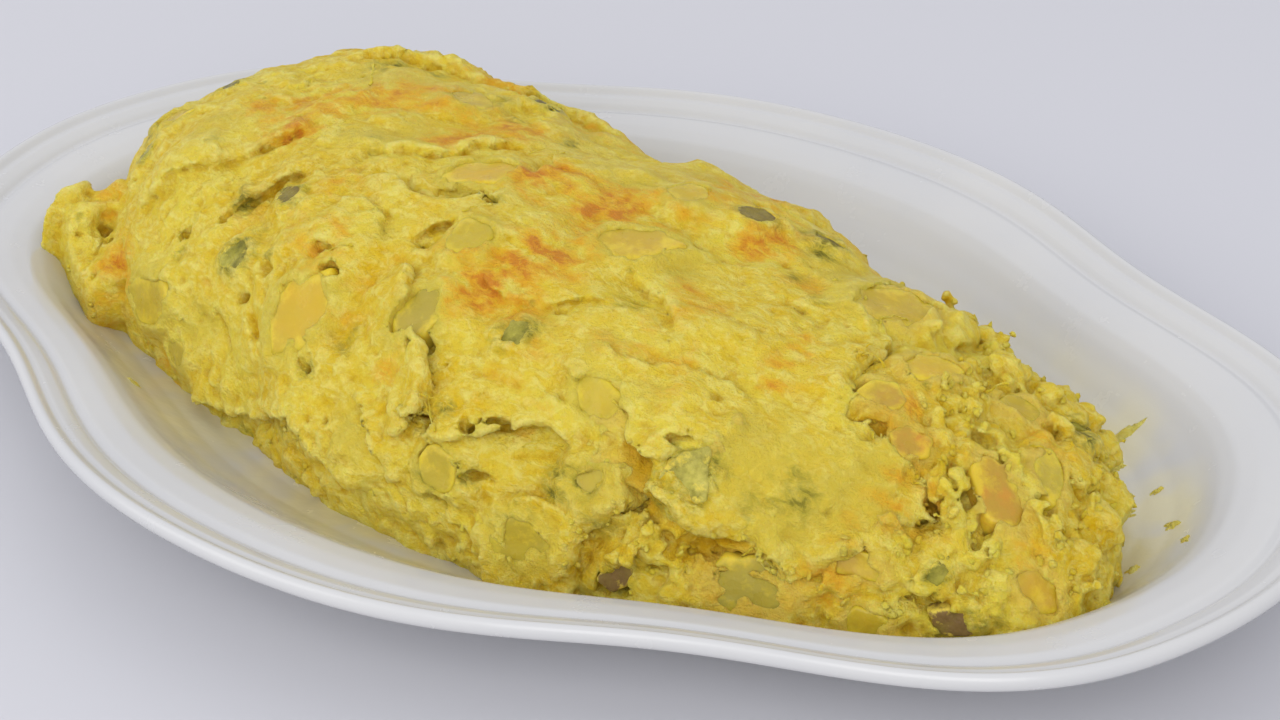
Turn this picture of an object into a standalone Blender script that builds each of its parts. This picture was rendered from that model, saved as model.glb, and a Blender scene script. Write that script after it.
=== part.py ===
"""Folded potato omelette on an oval platter. Metres, +Z up, origin on the table under the platter's middle.

The long axis of the platter is X. The omelette lies along it: a skin of set egg is folded over a
curdy filling with potato slices and green pepper, and is torn open at the +X end and low on the -Y side.
"""
import math
import random

import bmesh
import bpy
import numpy as np
from mathutils import Matrix, Vector
from mathutils.noise import noise

MM = 0.001
GAP = 0.4 * MM

# Platter: half length and half width of its groove line before the slow waves of the outline
GROOVE_HALF = (166.5 * MM, 109.1 * MM)
OUTLINE_WAVES = (0.015, 0.030, -0.027, -0.003, 0.007)
PLATTER_AROUND = 64
FLOOR_Z = 6 * MM
FLOOR_IN = 44 * MM
# Each row is a distance out from the groove line and a height
WELL_MM = ((-44, 6.0), (-36, 6.7), (-29, 8.9), (-23, 12.4), (-18, 16.8), (-14.5, 20.6), (-11.5, 22.8), (-7, 24.1))
RIM_MM = ((-1.4, 24.9), (0, 24.2), (1.4, 25.6), (5.0, 27.1), (5.8, 26.7), (6.8, 28.0), (8.5, 29.0), (9.8, 27.6))
UNDER_MM = ((9.6, 25.4), (7.4, 24.1), (-2, 20.6), (-10, 18.9), (-15.5, 15.2), (-21, 10.2), (-29, 5.0), (-38, 2.4))
FOOT_MM = ((-39.5, 0.0), (-43.5, 0.0), (-46, 2.0))

# Omelette: stations along it, each with x, middle y, half width and height above the well's floor
STATIONS_MM = (
    (-140, -2, 12, 13),
    (-135, 1, 28, 31),
    (-126, 5, 42, 41),
    (-111, 9, 55, 49),
    (-90, 8, 62, 53),
    (-64, 4, 65, 55),
    (-32, -4, 66, 56),
    (0, -9, 67, 56),
    (34, -12, 65, 53),
    (64, -13, 58, 50),
    (92, -12, 50, 45),
    (114, -11, 41, 38),
    (131, -12, 31, 31),
    (142, -16, 19, 20),
    (147, -18, 7, 9),
)
STATIONS = [np.array(row) * MM for row in STATIONS_MM]
ROUNDNESS = 2.35
SKIN = 8 * MM
ALONG = 29
ACROSS = 22

# Where the skin is torn: angle from the -Y foot (0) over the top to the +Y foot (180), and x of the edge
TEAR = ((0, 50), (12, 54), (20, 60), (25, 80), (29, 102), (40, 110), (55, 116), (64, 108), (70, 97), (82, 90),
        (102, 82), (109, 70), (130, 74), (152, 66), (180, 70))

# Broad lobes of the folded skin: x, angle, radius and height
LOBES = ((-100, 60, 20, 3), (-60, 95, 26, 2), (-40, 45, 22, 4), (5, 70, 24, 3), (18, 28, 20, 4), (50, 60, 20, 3),
         (-80, 25, 18, 4), (-15, 15, 16, 4), (30, 110, 24, 3), (-90, 130, 24, 3), (80, 40, 16, 3))
# Lobes that hang out of the folded end: x, y, z, then the radii
END_LOBES_MM = ((-134, -34, 19, 11, 14, 13), (-126, -42, 17, 11, 9, 10), (-112, -45, 17, 13, 10, 10))

# Pieces that show at the surface: x, angle, heading from the long axis, length and width
POTATO_THICK = 7.5 * MM
POTATOES = (
    (-29, 38, 80, 24, 18), (-17, 86, 39, 20, 16), (0, 70, 30, 13, 14), (2, 50, 70, 18, 12), (29, 87, 35, 23, 15),
    (51, 50, -25, 17, 10), (23, 23, 60, 13, 12), (57, 31, 20, 16, 12), (44, 13, 8, 18, 13), (91, 16, 5, 22, 13),
    (113, 13, 10, 11, 8), (109, 30, 0, 15, 7), (126, 69, -38, 20, 11), (130, 89, -38, 15, 9), (99, 92, 35, 15, 12),
    (80, 107, 60, 24, 17), (97, 79, 20, 12, 11), (107, 70, 50, 10, 10), (116, 103, 60, 13, 10), (139, 46, 0, 13, 10),
    (-86, 19, 10, 23, 16), (-73, 10, 0, 13, 9), (-118, 68, 10, 16, 11), (-48, 102, 39, 18, 15), (26, 103, 30, 14, 12),
)
PEPPER_THICK = 4.5 * MM
PEPPERS = (
    (-58, 40, 30, 13, 10), (-55, 58, 10, 10, 9), (26, 56, 45, 11, 9), (75, 39, 60, 16, 13), (41, 107, 35, 12, 9),
    (54, 118, 35, 12, 9), (-37, 118, 35, 11, 10), (-112, 82, 80, 10, 7), (-116, 53, 90, 11, 6), (123, 34, 75, 9, 5),
    (128, 19, 10, 12, 8), (65, 11, 60, 12, 7), (124, 122, 80, 9, 5),
)
# How far pieces stand out of the egg
PROUD = 1.6 * MM
CURDS = 13
CURD_RADIUS = (3.6 * MM, 6.0 * MM)


def smooth_between(rows, share):
    """The row at a share from 0 to 1 of the rows, on a smooth curve through all of them."""
    place = share * (len(rows) - 1)
    i = min(int(place), len(rows) - 2)
    u = place - i
    before, here, there, after = (rows[min(max(i + k, 0), len(rows) - 1)] for k in (-1, 0, 1, 2))
    return 0.5 * (
        2 * here
        + (there - before) * u
        + (2 * before - 5 * here + 4 * there - after) * u * u
        + (3 * here - before - 3 * there + after) * u ** 3
    )


def share_at(x):
    """How far along the stations a given x lies."""
    low, high = 0.0, 1.0
    for _ in range(30):
        middle = (low + high) / 2
        if smooth_between(STATIONS, middle)[0] < x:
            low = middle
        else:
            high = middle
    return low


def mound_base(share, angle, inset):
    """The plain rounded form of the omelette, moved in by an even inset."""
    x, middle, half, height = smooth_between(STATIONS, share)
    first, last = STATIONS[0][0], STATIONS[-1][0]
    centre = (first + last) / 2
    x = centre + (x - centre) * (1 - 2 * inset / (last - first))
    half = max(half - inset, 0.3 * half)
    height = max(height - inset, 0.3 * height)
    c, s = math.cos(angle), math.sin(angle)
    y = middle - half * math.copysign(abs(c) ** (2 / ROUNDNESS), c)
    return Vector((x, y, FLOOR_Z + height * abs(s) ** (2 / ROUNDNESS)))


def outward(share, angle):
    """The direction in which the skin swells."""
    x, middle, _, height = smooth_between(STATIONS, share)
    core = Vector((x * 0.93, middle, FLOOR_Z + 0.3 * height))
    return (mound_base(share, angle, 0) - core).normalized()


LOBE_CENTRES = [mound_base(share_at(x * MM), math.radians(angle), 0) for x, angle, _, _ in LOBES]


def swell(share, angle):
    """How far the folded skin stands out of the plain form: broad lobes and a small unevenness."""
    here = mound_base(share, angle, 0)
    total = 0.0
    for centre, (_, _, radius, height) in zip(LOBE_CENTRES, LOBES):
        total += height * MM * math.exp(-((here - centre).length / (radius * MM)) ** 2)
    return total + 1.6 * MM * noise(here * 55) + 0.8 * MM * noise(here * 130) - 1.0 * MM


def mound_point(share, angle, inset):
    return mound_base(share, angle, inset) + outward(share, angle) * swell(share, angle)


def tear_share(angle):
    """Where the skin ends along the omelette at this angle."""
    degrees = [row[0] for row in TEAR]
    places = [row[1] * MM for row in TEAR]
    return share_at(float(np.interp(math.degrees(angle), degrees, places)))


def outline_point(turn, out):
    """A point of the platter's outline moved out from the groove line, at a turn in radians."""
    inward = min(max(-out / FLOOR_IN, 0.0), 1.0)
    wave = sum(c * math.cos(2 * (k + 1) * turn) for k, c in enumerate(OUTLINE_WAVES))
    grow = 1 + wave * (1 - 0.6 * inward)
    return (GROOVE_HALF[0] + out) * math.cos(turn) * grow, (GROOVE_HALF[1] + out) * math.sin(turn) * grow


def finish(name, bm, colour, roughness):
    """A named object with its own material, from a mesh whose faces are turned outwards."""
    bmesh.ops.recalc_face_normals(bm, faces=bm.faces)
    mesh = bpy.data.meshes.new(name)
    bm.to_mesh(mesh)
    bm.free()
    obj = bpy.data.objects.new(name, mesh)
    bpy.context.scene.collection.objects.link(obj)
    material = bpy.data.materials.new(name)
    material.use_nodes = True
    shader = material.node_tree.nodes["Principled BSDF"]
    shader.inputs["Base Color"].default_value = (*colour, 1)
    shader.inputs["Roughness"].default_value = roughness
    mesh.materials.append(material)
    return obj


def make_cutter(obj):
    obj.hide_render = True
    obj.display_type = "WIRE"
    return obj


def bridge(bm, rings):
    """Closes neighbouring rings of points with quads."""
    for ring, following in zip(rings, rings[1:]):
        count = len(ring)
        for i in range(count):
            j = (i + 1) % count
            bm.faces.new((ring[i], ring[j], following[j], following[i]))


def platter_solid(name, profile_mm, lift):
    bm = bmesh.new()
    rings = []
    for out, height in profile_mm:
        ring = []
        for k in range(PLATTER_AROUND):
            x, y = outline_point(2 * math.pi * k / PLATTER_AROUND, out * MM)
            ring.append(bm.verts.new((x, y, height * MM + lift)))
        rings.append(ring)
    bridge(bm, rings)
    bm.faces.new(rings[0])
    bm.faces.new(rings[-1])
    return finish(name, bm, (0.80, 0.80, 0.79), 0.12)


def skin_solid(name, outer_inset, inner_inset, past_tear, foot_z):
    """The folded skin as a closed shell: an outer and an inner sheet from the left end to past the tear."""
    bm = bmesh.new()
    sheets = []
    columns = ALONG + 1 if not past_tear else ALONG + 2
    for inset in (outer_inset, inner_inset):
        rows = []
        for j in range(-1, ACROSS + 2):
            angle = math.pi * min(max(j, 0), ACROSS) / ACROSS
            end = tear_share(angle)
            row = []
            for i in range(columns):
                share = end * i / ALONG if i <= ALONG else end + past_tear
                point = mound_point(share, angle, inset)
                if j in (-1, ACROSS + 1):
                    point.z = foot_z
                row.append(bm.verts.new(point))
            rows.append(row)
        sheets.append(rows)
    outer, inner = sheets
    for sheet in sheets:
        for row, following in zip(sheet, sheet[1:]):
            for i in range(columns - 1):
                bm.faces.new((row[i], row[i + 1], following[i + 1]))
                bm.faces.new((row[i], following[i + 1], following[i]))
    for j in range(ACROSS + 2):
        bm.faces.new((outer[j][-1], inner[j][-1], inner[j + 1][-1], outer[j + 1][-1]))
    for j in (0, ACROSS + 2):
        for i in range(columns - 1):
            bm.faces.new((outer[j][i], outer[j][i + 1], inner[j][i + 1], inner[j][i]))
    bm.faces.new([row[0] for row in outer])
    bm.faces.new([row[0] for row in inner])
    bm.faces.new((outer[0][0], outer[-1][0], inner[-1][0], inner[0][0]))
    return finish(name, bm, (0.80, 0.55, 0.07), 0.5)


def filling_solid(name, inset, foot_z):
    """The whole mound as one closed tube of sections with its foot below the well's floor."""
    bm = bmesh.new()
    rings = []
    for i in range(ALONG + 1):
        share = i / ALONG
        ring = [bm.verts.new(mound_point(share, math.pi * j / ACROSS, inset)) for j in range(ACROSS + 1)]
        for j in (ACROSS, 0):
            foot = mound_point(share, math.pi * j / ACROSS, inset)
            ring.append(bm.verts.new((foot.x, foot.y, foot_z)))
        rings.append(ring)
    bridge(bm, rings)
    bm.faces.new(rings[0])
    bm.faces.new(rings[-1])
    return finish(name, bm, (0.78, 0.60, 0.16), 0.5)


def sits_at(x, angle, heading, sink):
    """Where a piece lies: its middle sunk under the surface, its own Z outwards and its length along the heading."""
    share, angle = share_at(x * MM), math.radians(angle)
    here = mound_point(share, angle, 0)
    along = mound_point(share + 0.01, angle, 0) - mound_point(share - 0.01, angle, 0)
    around = mound_point(share, angle + 0.05, 0) - mound_point(share, angle - 0.05, 0)
    normal = along.cross(around).normalized()
    if normal.dot(outward(share, angle)) < 0:
        normal.negate()
    along = (along - normal * along.dot(normal)).normalized()
    side = normal.cross(along)
    turn = math.radians(heading)
    length_way = along * math.cos(turn) + side * math.sin(turn)
    frame = Matrix((length_way, normal.cross(length_way), normal)).transposed().to_4x4()
    frame.translation = here - normal * sink
    return frame


def slab(name, place, length, width, thick, corners, seed, grow, colour):
    """A cut slice: a flat piece with an uneven outline of a few corners and softened edges."""
    draw = random.Random(seed)
    bm = bmesh.new()
    ring = []
    for k in range(corners):
        turn = 2 * math.pi * (k + draw.uniform(-0.22, 0.22)) / corners
        reach = draw.uniform(0.86, 1.06)
        ring.append(Vector((length / 2 * reach * math.cos(turn), width / 2 * reach * math.sin(turn), 0)))
    tilt = Vector((draw.uniform(-0.08, 0.08), draw.uniform(-0.08, 0.08)))
    for shrink, level in ((0.84, -0.5), (1.0, -0.28), (1.0, 0.24), (0.80, 0.5)):
        for point in ring:
            spread = point * shrink * (1 + 2 * grow / min(length, width))
            lift = level * (thick + 2 * grow) + tilt.x * spread.x + tilt.y * spread.y
            bm.verts.new((spread.x, spread.y, lift))
    bm.verts.ensure_lookup_table()
    rings = [bm.verts[k * corners:(k + 1) * corners] for k in range(4)]
    bridge(bm, rings)
    bm.faces.new(rings[0])
    bm.faces.new(rings[-1])
    bmesh.ops.transform(bm, matrix=place, verts=bm.verts)
    return finish(name, bm, colour, 0.35)


def lump(name, centre, radii, seed, subdivisions):
    """An uneven rounded lump of curd."""
    bm = bmesh.new()
    bmesh.ops.create_icosphere(bm, subdivisions=subdivisions, radius=1)
    shift = Vector((seed * 3.1, seed * 1.7, seed * 0.9))
    for vert in bm.verts:
        bulge = 1 + 0.30 * noise(vert.co * 1.3 + shift)
        vert.co = Vector(vert.co[k] * radii[k] * bulge + centre[k] for k in range(3))
    return finish(name, bm, (0.80, 0.60, 0.12), 0.5)


def group(name, objects):
    """Moves helpers into a collection of their own for one Boolean."""
    collection = bpy.data.collections.new(name)
    bpy.context.scene.collection.children.link(collection)
    for obj in objects:
        bpy.context.scene.collection.objects.unlink(obj)
        collection.objects.link(obj)
        make_cutter(obj)
    return collection


def combine(obj, operation, objects):
    """One applied Boolean with a collection of helpers, which are then removed."""
    collection = group(f"{obj.name} {operation.lower()}", objects)
    modifier = obj.modifiers.new(operation.title(), "BOOLEAN")
    modifier.operation = operation
    modifier.operand_type = "COLLECTION"
    modifier.collection = collection
    modifier.solver = "MANIFOLD"
    graph = bpy.context.evaluated_depsgraph_get()
    mesh = bpy.data.meshes.new_from_object(obj.evaluated_get(graph))
    obj.modifiers.clear()
    old = obj.data
    obj.data = mesh
    mesh.name = obj.name
    bpy.data.meshes.remove(old)
    for helper in objects:
        bpy.data.objects.remove(helper)
    bpy.data.collections.remove(collection)
    keep_largest(obj)


def keep_largest(obj):
    """Drops loose scraps that a cut leaves."""
    bm = bmesh.new()
    bm.from_mesh(obj.data)
    left = set(bm.verts)
    islands = []
    while left:
        front = [left.pop()]
        island = set(front)
        while front:
            for edge in front.pop().link_edges:
                for vert in edge.verts:
                    if vert in left:
                        left.remove(vert)
                        island.add(vert)
                        front.append(vert)
        islands.append(island)
    islands.sort(key=len)
    scraps = [vert for island in islands[:-1] for vert in island]
    bmesh.ops.delete(bm, geom=scraps, context="VERTS")
    bm.to_mesh(obj.data)
    bm.free()


def food_pieces(grow):
    """Every slice and pepper piece; with some growth they are the room cut for them instead."""
    made = []
    for kind, rows, thick, corners, colour in (
        ("potato", POTATOES, POTATO_THICK, 6, (0.72, 0.56, 0.18)),
        ("pepper", PEPPERS, PEPPER_THICK, 5, (0.17, 0.18, 0.07)),
    ):
        for k, (x, angle, heading, length, width) in enumerate(rows):
            place = sits_at(x, angle, heading, thick / 2 - PROUD)
            name = f"{kind}_{k + 1:02d}" if not grow else f"room {kind} {k}"
            made.append(slab(name, place, length * MM, width * MM, thick, corners, 31 * k + len(kind) + corners, grow, colour))
    return made


def end_lobes(grow):
    """The lobes that hang out of the folded end, or the room for them."""
    return [
        lump(f"end {k} {grow}", Vector(row[:3]) * MM, [radius * MM + grow for radius in row[3:]], k + 2, 2)
        for k, row in enumerate(END_LOBES_MM)
    ]


def curds():
    """Lumps of curd on the torn end, drawn evenly and clear of the pieces."""
    draw = random.Random(8)
    taken = [mound_point(share_at(x * MM), math.radians(angle), 0) for x, angle, *_ in POTATOES + PEPPERS]
    made = []
    while len(made) < CURDS:
        x, angle = draw.uniform(66, 144) * MM, math.radians(draw.uniform(8, 172))
        radius = draw.uniform(*CURD_RADIUS)
        here = mound_point(share_at(x), angle, 1.5 * MM)
        if share_at(x) < tear_share(angle) + 0.03 or min((here - spot).length for spot in taken) < 9 * MM:
            continue
        taken.append(here)
        radii = (radius * draw.uniform(0.9, 1.3), radius, radius * draw.uniform(0.8, 1.1))
        made.append(lump(f"curd {len(made)}", here, radii, len(made), 1))
    return made


for old in list(bpy.data.objects):
    bpy.data.objects.remove(old)

plate = platter_solid("plate", WELL_MM + RIM_MM + UNDER_MM + FOOT_MM, 0)
DISH_ROOM_MM = WELL_MM + RIM_MM + ((9.8, -20), (-46, -20))

skin = skin_solid("egg_skin", 0, SKIN, 0, -4 * MM)
combine(skin, "UNION", end_lobes(0))
combine(skin, "DIFFERENCE", [platter_solid("dish room", DISH_ROOM_MM, GAP)])
combine(skin, "DIFFERENCE", food_pieces(GAP))

filling = filling_solid("filling", 1.5 * MM, -6 * MM)
combine(filling, "UNION", curds())
for room in (skin_solid("skin room", -8 * MM, SKIN + GAP, 0.004, -10 * MM), *end_lobes(2 * GAP)):
    combine(filling, "DIFFERENCE", [room])
combine(filling, "DIFFERENCE", [platter_solid("dish room", DISH_ROOM_MM, GAP)])
combine(filling, "DIFFERENCE", food_pieces(GAP))

food_pieces(0)
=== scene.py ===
# %% [markdown]
# # A folded potato omelette on an oval platter
# The dish is one object: a white glazed platter and the omelette that lies in its well. The egg was
# set as a thick round cake, folded over itself, and torn open at one end, so potato, green pepper
# and curdy egg show there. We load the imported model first, because every piece below keeps its place.
# A few small helpers make objects, meshes and materials, as each of them is made many times.

import itertools
import math
import random

import bmesh
import bpy
import numpy as np
from mathutils import Matrix, Vector
from mathutils.noise import noise


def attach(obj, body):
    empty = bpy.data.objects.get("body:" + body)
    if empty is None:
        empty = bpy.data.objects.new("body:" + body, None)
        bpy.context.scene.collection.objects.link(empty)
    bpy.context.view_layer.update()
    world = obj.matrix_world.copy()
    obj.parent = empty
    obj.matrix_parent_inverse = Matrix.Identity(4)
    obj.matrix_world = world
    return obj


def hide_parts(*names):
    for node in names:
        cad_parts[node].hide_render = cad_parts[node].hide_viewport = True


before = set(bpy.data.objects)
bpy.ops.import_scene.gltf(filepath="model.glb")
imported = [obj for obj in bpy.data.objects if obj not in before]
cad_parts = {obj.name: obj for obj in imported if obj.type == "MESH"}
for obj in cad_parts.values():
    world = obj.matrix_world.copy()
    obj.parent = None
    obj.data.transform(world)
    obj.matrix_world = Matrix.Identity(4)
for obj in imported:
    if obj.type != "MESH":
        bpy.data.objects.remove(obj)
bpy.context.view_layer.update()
MM = 0.001  # the tables below are in millimetres, Blender counts in metres
print("nodes to dress:", len(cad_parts))


# %% Helpers for objects, meshes and materials
def placed(name, data):
    """An object of the scene that holds the data."""
    obj = bpy.data.objects.new(name, data)
    bpy.context.scene.collection.objects.link(obj)
    return obj


def vertex_values(mesh, values):
    """Keeps one number per vertex under each of the names."""
    for key, value in values.items():
        layer = mesh.attributes.new(key, "FLOAT", "POINT")
        layer.data.foreach_set("value", value.astype(np.float32))


def mesh_object(name, points, faces, values=None):
    """A smooth mesh from points in metres, with one number per vertex under each given name."""
    mesh = bpy.data.meshes.new(name)
    mesh.from_pydata(np.asarray(points).tolist(), [], faces)
    mesh.shade_smooth()
    vertex_values(mesh, values or {})
    return placed(name, mesh)


def triangle_count(obj):
    """How many triangles a piece's faces come to."""
    return sum(len(face.vertices) - 2 for face in obj.data.polygons)


def new_material(name, settings):
    """A material whose shader has the given values; gives the material, its node tree and its shader."""
    material = bpy.data.materials.new(name)
    material.use_nodes = True
    shader = material.node_tree.nodes["Principled BSDF"]
    for key, value in settings.items():
        shader.inputs[key].default_value = value
    return material, material.node_tree, shader


print("one millimetre is", MM, "of Blender's units")

# %% [markdown]
# ## Camera
# The picture was taken from the front right, about thirty degrees up, with a long lens half a metre
# away. We give the camera the same place, a slight roll and the same field of view.

# %% The camera
LOOK_AT = Vector((22.55, -7.55, 25.0)) * MM
AZIMUTH, ELEVATION, ROLL, DISTANCE, VIEW_ANGLE = 38.65, 29.83, -1.22, 570.5 * MM, 28.37


def camera_matrix():
    """The camera's axes from its direction round the dish, its height and its roll."""
    turn, rise, roll = (math.radians(value) for value in (AZIMUTH, ELEVATION, ROLL))
    back = Vector((math.sin(turn) * math.cos(rise), -math.cos(turn) * math.cos(rise), math.sin(rise)))
    right = Vector((0, 0, 1)).cross(back).normalized()
    up = back.cross(right)
    right, up = right * math.cos(roll) + up * math.sin(roll), up * math.cos(roll) - right * math.sin(roll)
    matrix = Matrix((right, up, back)).transposed().to_4x4()
    matrix.translation = LOOK_AT + back * DISTANCE
    return matrix


lens = bpy.data.cameras.new("camera")
lens.sensor_fit = "HORIZONTAL"
lens.angle = math.radians(VIEW_ANGLE)
lens.clip_start = 0.01
camera = placed("camera", lens)
camera.matrix_world = camera_matrix()
bpy.context.scene.camera = camera
print("camera at", [round(value, 3) for value in camera.matrix_world.translation])

# %% [markdown]
# ## Light and table
# The light is soft: a bright pale sky, a large lamp at the front right, a weaker one at the front left
# and a faint one behind. The table is a plain pale sheet that curves up far behind, so no horizon
# line shows.

# %% Lamps and sky
bpy.context.scene.view_settings.view_transform = "Standard"
world = bpy.data.worlds.new("studio")
world.use_nodes = True
world.node_tree.nodes["Background"].inputs["Color"].default_value = (0.93, 0.94, 1.0, 1)
world.node_tree.nodes["Background"].inputs["Strength"].default_value = 0.84
bpy.context.scene.world = world


def soft_lamp(name, place, size, watts, colour):
    """A square lamp that faces the dish."""
    lamp = bpy.data.lights.new(name, "AREA")
    lamp.shape = "SQUARE"
    lamp.size = size
    lamp.energy = watts
    lamp.color = colour
    holder = placed(name, lamp)
    holder.location = place
    holder.rotation_euler = (Vector(place) - LOOK_AT).to_track_quat("Z", "Y").to_euler()


soft_lamp("lamp back", (-0.5, 0.75, 1.15), 1.2, 1.6, (1.0, 0.99, 0.97))
soft_lamp("lamp left", (-0.8, -1.1, 0.75), 1.0, 4.6, (1.0, 0.99, 0.98))
soft_lamp("lamp front", (0.85, -1.2, 0.88), 1.2, 12.2, (1.0, 0.99, 0.98))

# %% The table
TABLE_NEAR, TABLE_FAR, TABLE_BEND, TABLE_HALF, BEND_STEPS = -2.5, 2.2, 0.9, 3.5, 12


def table_sheet():
    """A flat sheet whose far edge bends up in a quarter circle."""
    turns = [k * math.pi / 2 / BEND_STEPS for k in range(BEND_STEPS + 1)]
    bend = [(TABLE_FAR + TABLE_BEND * math.sin(turn), TABLE_BEND * (1 - math.cos(turn))) for turn in turns]
    rows = [(TABLE_NEAR, 0.0), *bend]
    points = [(x, y, z) for y, z in rows for x in (-TABLE_HALF, TABLE_HALF)]
    faces = [(2 * k, 2 * k + 1, 2 * k + 3, 2 * k + 2) for k in range(len(rows) - 1)]
    return mesh_object("table", points, faces)


table = table_sheet()
paper, _, _ = new_material("table paper", {"Base Color": (0.595, 0.595, 0.625, 1), "Roughness": 0.9})
table.data.materials.append(paper)
print("table runs back to", TABLE_FAR + TABLE_BEND, "m")

# %% [markdown]
# ## The platter
# A real platter like this is pressed from clay and glazed. Its section is the same all round: a flat
# well, a steep cove, a wide brim with two fine grooves and a rounded lip. The outline is an oval with
# slow lobes. It could be lathed, but a lathe only makes round plates. A Geometry Nodes tree that bends
# one section round the lobed outline fits the rule exactly, so we sweep the section there.

# %% The section of the platter
GROOVE_HALF = (166.5 * MM, 109.1 * MM)  # half length and half width of the inner groove
OUTLINE_WAVES = (0.015, 0.030, -0.027, -0.003, 0.007)
FLOOR_IN = 44 * MM  # from the groove in to the flat floor
FLOOR_EVEN = 0.6  # the share of the outline's waves that is gone at the floor
# Each row is the distance out from the groove and the height.
WELL_MM = (
    (-109.1, 6.0), (-44, 6.0), (-36, 6.7), (-29, 8.9), (-23, 12.4), (-18, 16.8), (-14.5, 20.6), (-11.5, 22.8),
)
RIM_MM = (
    (-7, 24.1), (-1.4, 24.9), (0, 24.1), (1.4, 25.6), (5.0, 27.1), (5.8, 26.6), (6.8, 28.0), (8.5, 28.9),
)
UNDER_MM = (
    (9.7, 27.6), (9.5, 25.4), (7.4, 24.1), (-2, 20.6), (-10, 18.9), (-15.5, 15.2), (-21, 10.2), (-29, 5.0),
)
FOOT_MM = ((-38, 2.4), (-39.5, 0.0), (-43.5, 0.0), (-46, 2.0), (-109.1, 2.0))


def softened(rows, spacing, width):
    """The section resampled evenly, with its corners rounded as glaze rounds them."""
    rows = np.array(rows, float)
    lengths = np.r_[0, np.cumsum(np.linalg.norm(np.diff(rows, axis=0), axis=1))]
    places = np.linspace(0, lengths[-1], int(lengths[-1] / spacing))
    line = np.stack([np.interp(places, lengths, rows[:, k]) for k in range(2)], 1)
    reach = int(3 * width / spacing)
    weights = np.exp(-0.5 * (np.arange(-reach, reach + 1) * spacing / width) ** 2)
    weights /= weights.sum()
    padded = np.pad(line, ((reach, reach), (0, 0)), mode="edge")
    smooth = np.stack([np.convolve(padded[:, k], weights, mode="valid") for k in range(2)], 1)
    smooth[0], smooth[-1] = rows[0], rows[-1]
    return smooth


SECTION_MM = softened(WELL_MM + RIM_MM + UNDER_MM + FOOT_MM, spacing=0.35, width=0.42)
print("section points:", len(SECTION_MM))


# %% Small helpers for node trees
def join(tree, source, target):
    """Links an output to an input, or gives the input a plain value."""
    if isinstance(source, bpy.types.NodeSocket):
        tree.links.new(source, target)
    else:
        target.default_value = source


def add_node(tree, kind, inputs=(), **properties):
    """A node with its properties set, and its inputs filled by name or number."""
    node = tree.nodes.new(kind)
    for key, value in properties.items():
        setattr(node, key, value)
    for key, value in dict(inputs).items():
        join(tree, value, node.inputs[key])
    return node


def math_node(tree, operation, *values):
    """One step of a formula; numbers and sockets can both be given."""
    return add_node(tree, "ShaderNodeMath", enumerate(values), operation=operation).outputs[0]


def new_tree(name, inputs):
    """A Geometry Nodes tree with named inputs, and the sockets that hand them over."""
    tree = bpy.data.node_groups.new(name, "GeometryNodeTree")
    tree.interface.new_socket("Geometry", in_out="OUTPUT", socket_type="NodeSocketGeometry")
    for key, kind in inputs.items():
        tree.interface.new_socket(key, in_out="INPUT", socket_type="NodeSocket" + kind)
    return tree, tree.nodes.new("NodeGroupInput").outputs


def chain(tree, geometry, steps):
    """Sends geometry through one node after another and out of the tree."""
    for kind, inputs in steps:
        geometry = add_node(tree, kind, {"Geometry": geometry, **inputs}).outputs[0]
    join(tree, geometry, tree.nodes.new("NodeGroupOutput").inputs[0])
    return tree


def plain_mesh(obj):
    """Turns what the modifiers make into the object's own mesh and removes them."""
    graph = bpy.context.evaluated_depsgraph_get()
    mesh = bpy.data.meshes.new_from_object(obj.evaluated_get(graph))
    obj.modifiers.clear()
    old = obj.data
    obj.data = mesh
    bpy.data.meshes.remove(old)
    mesh.name = obj.name
    return obj


def nodes_object(name, mesh, tree, settings):
    """An object whose mesh a Geometry Nodes tree makes, with the tree's inputs set by identifier."""
    obj = placed(name, mesh)
    modifier = obj.modifiers.new("nodes", "NODES")
    modifier.node_group = tree
    sockets = {item.name: item.identifier for item in tree.interface.items_tree if item.in_out == "INPUT"}
    for key, value in settings.items():
        modifier[sockets[key]] = value
    return plain_mesh(obj)


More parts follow.
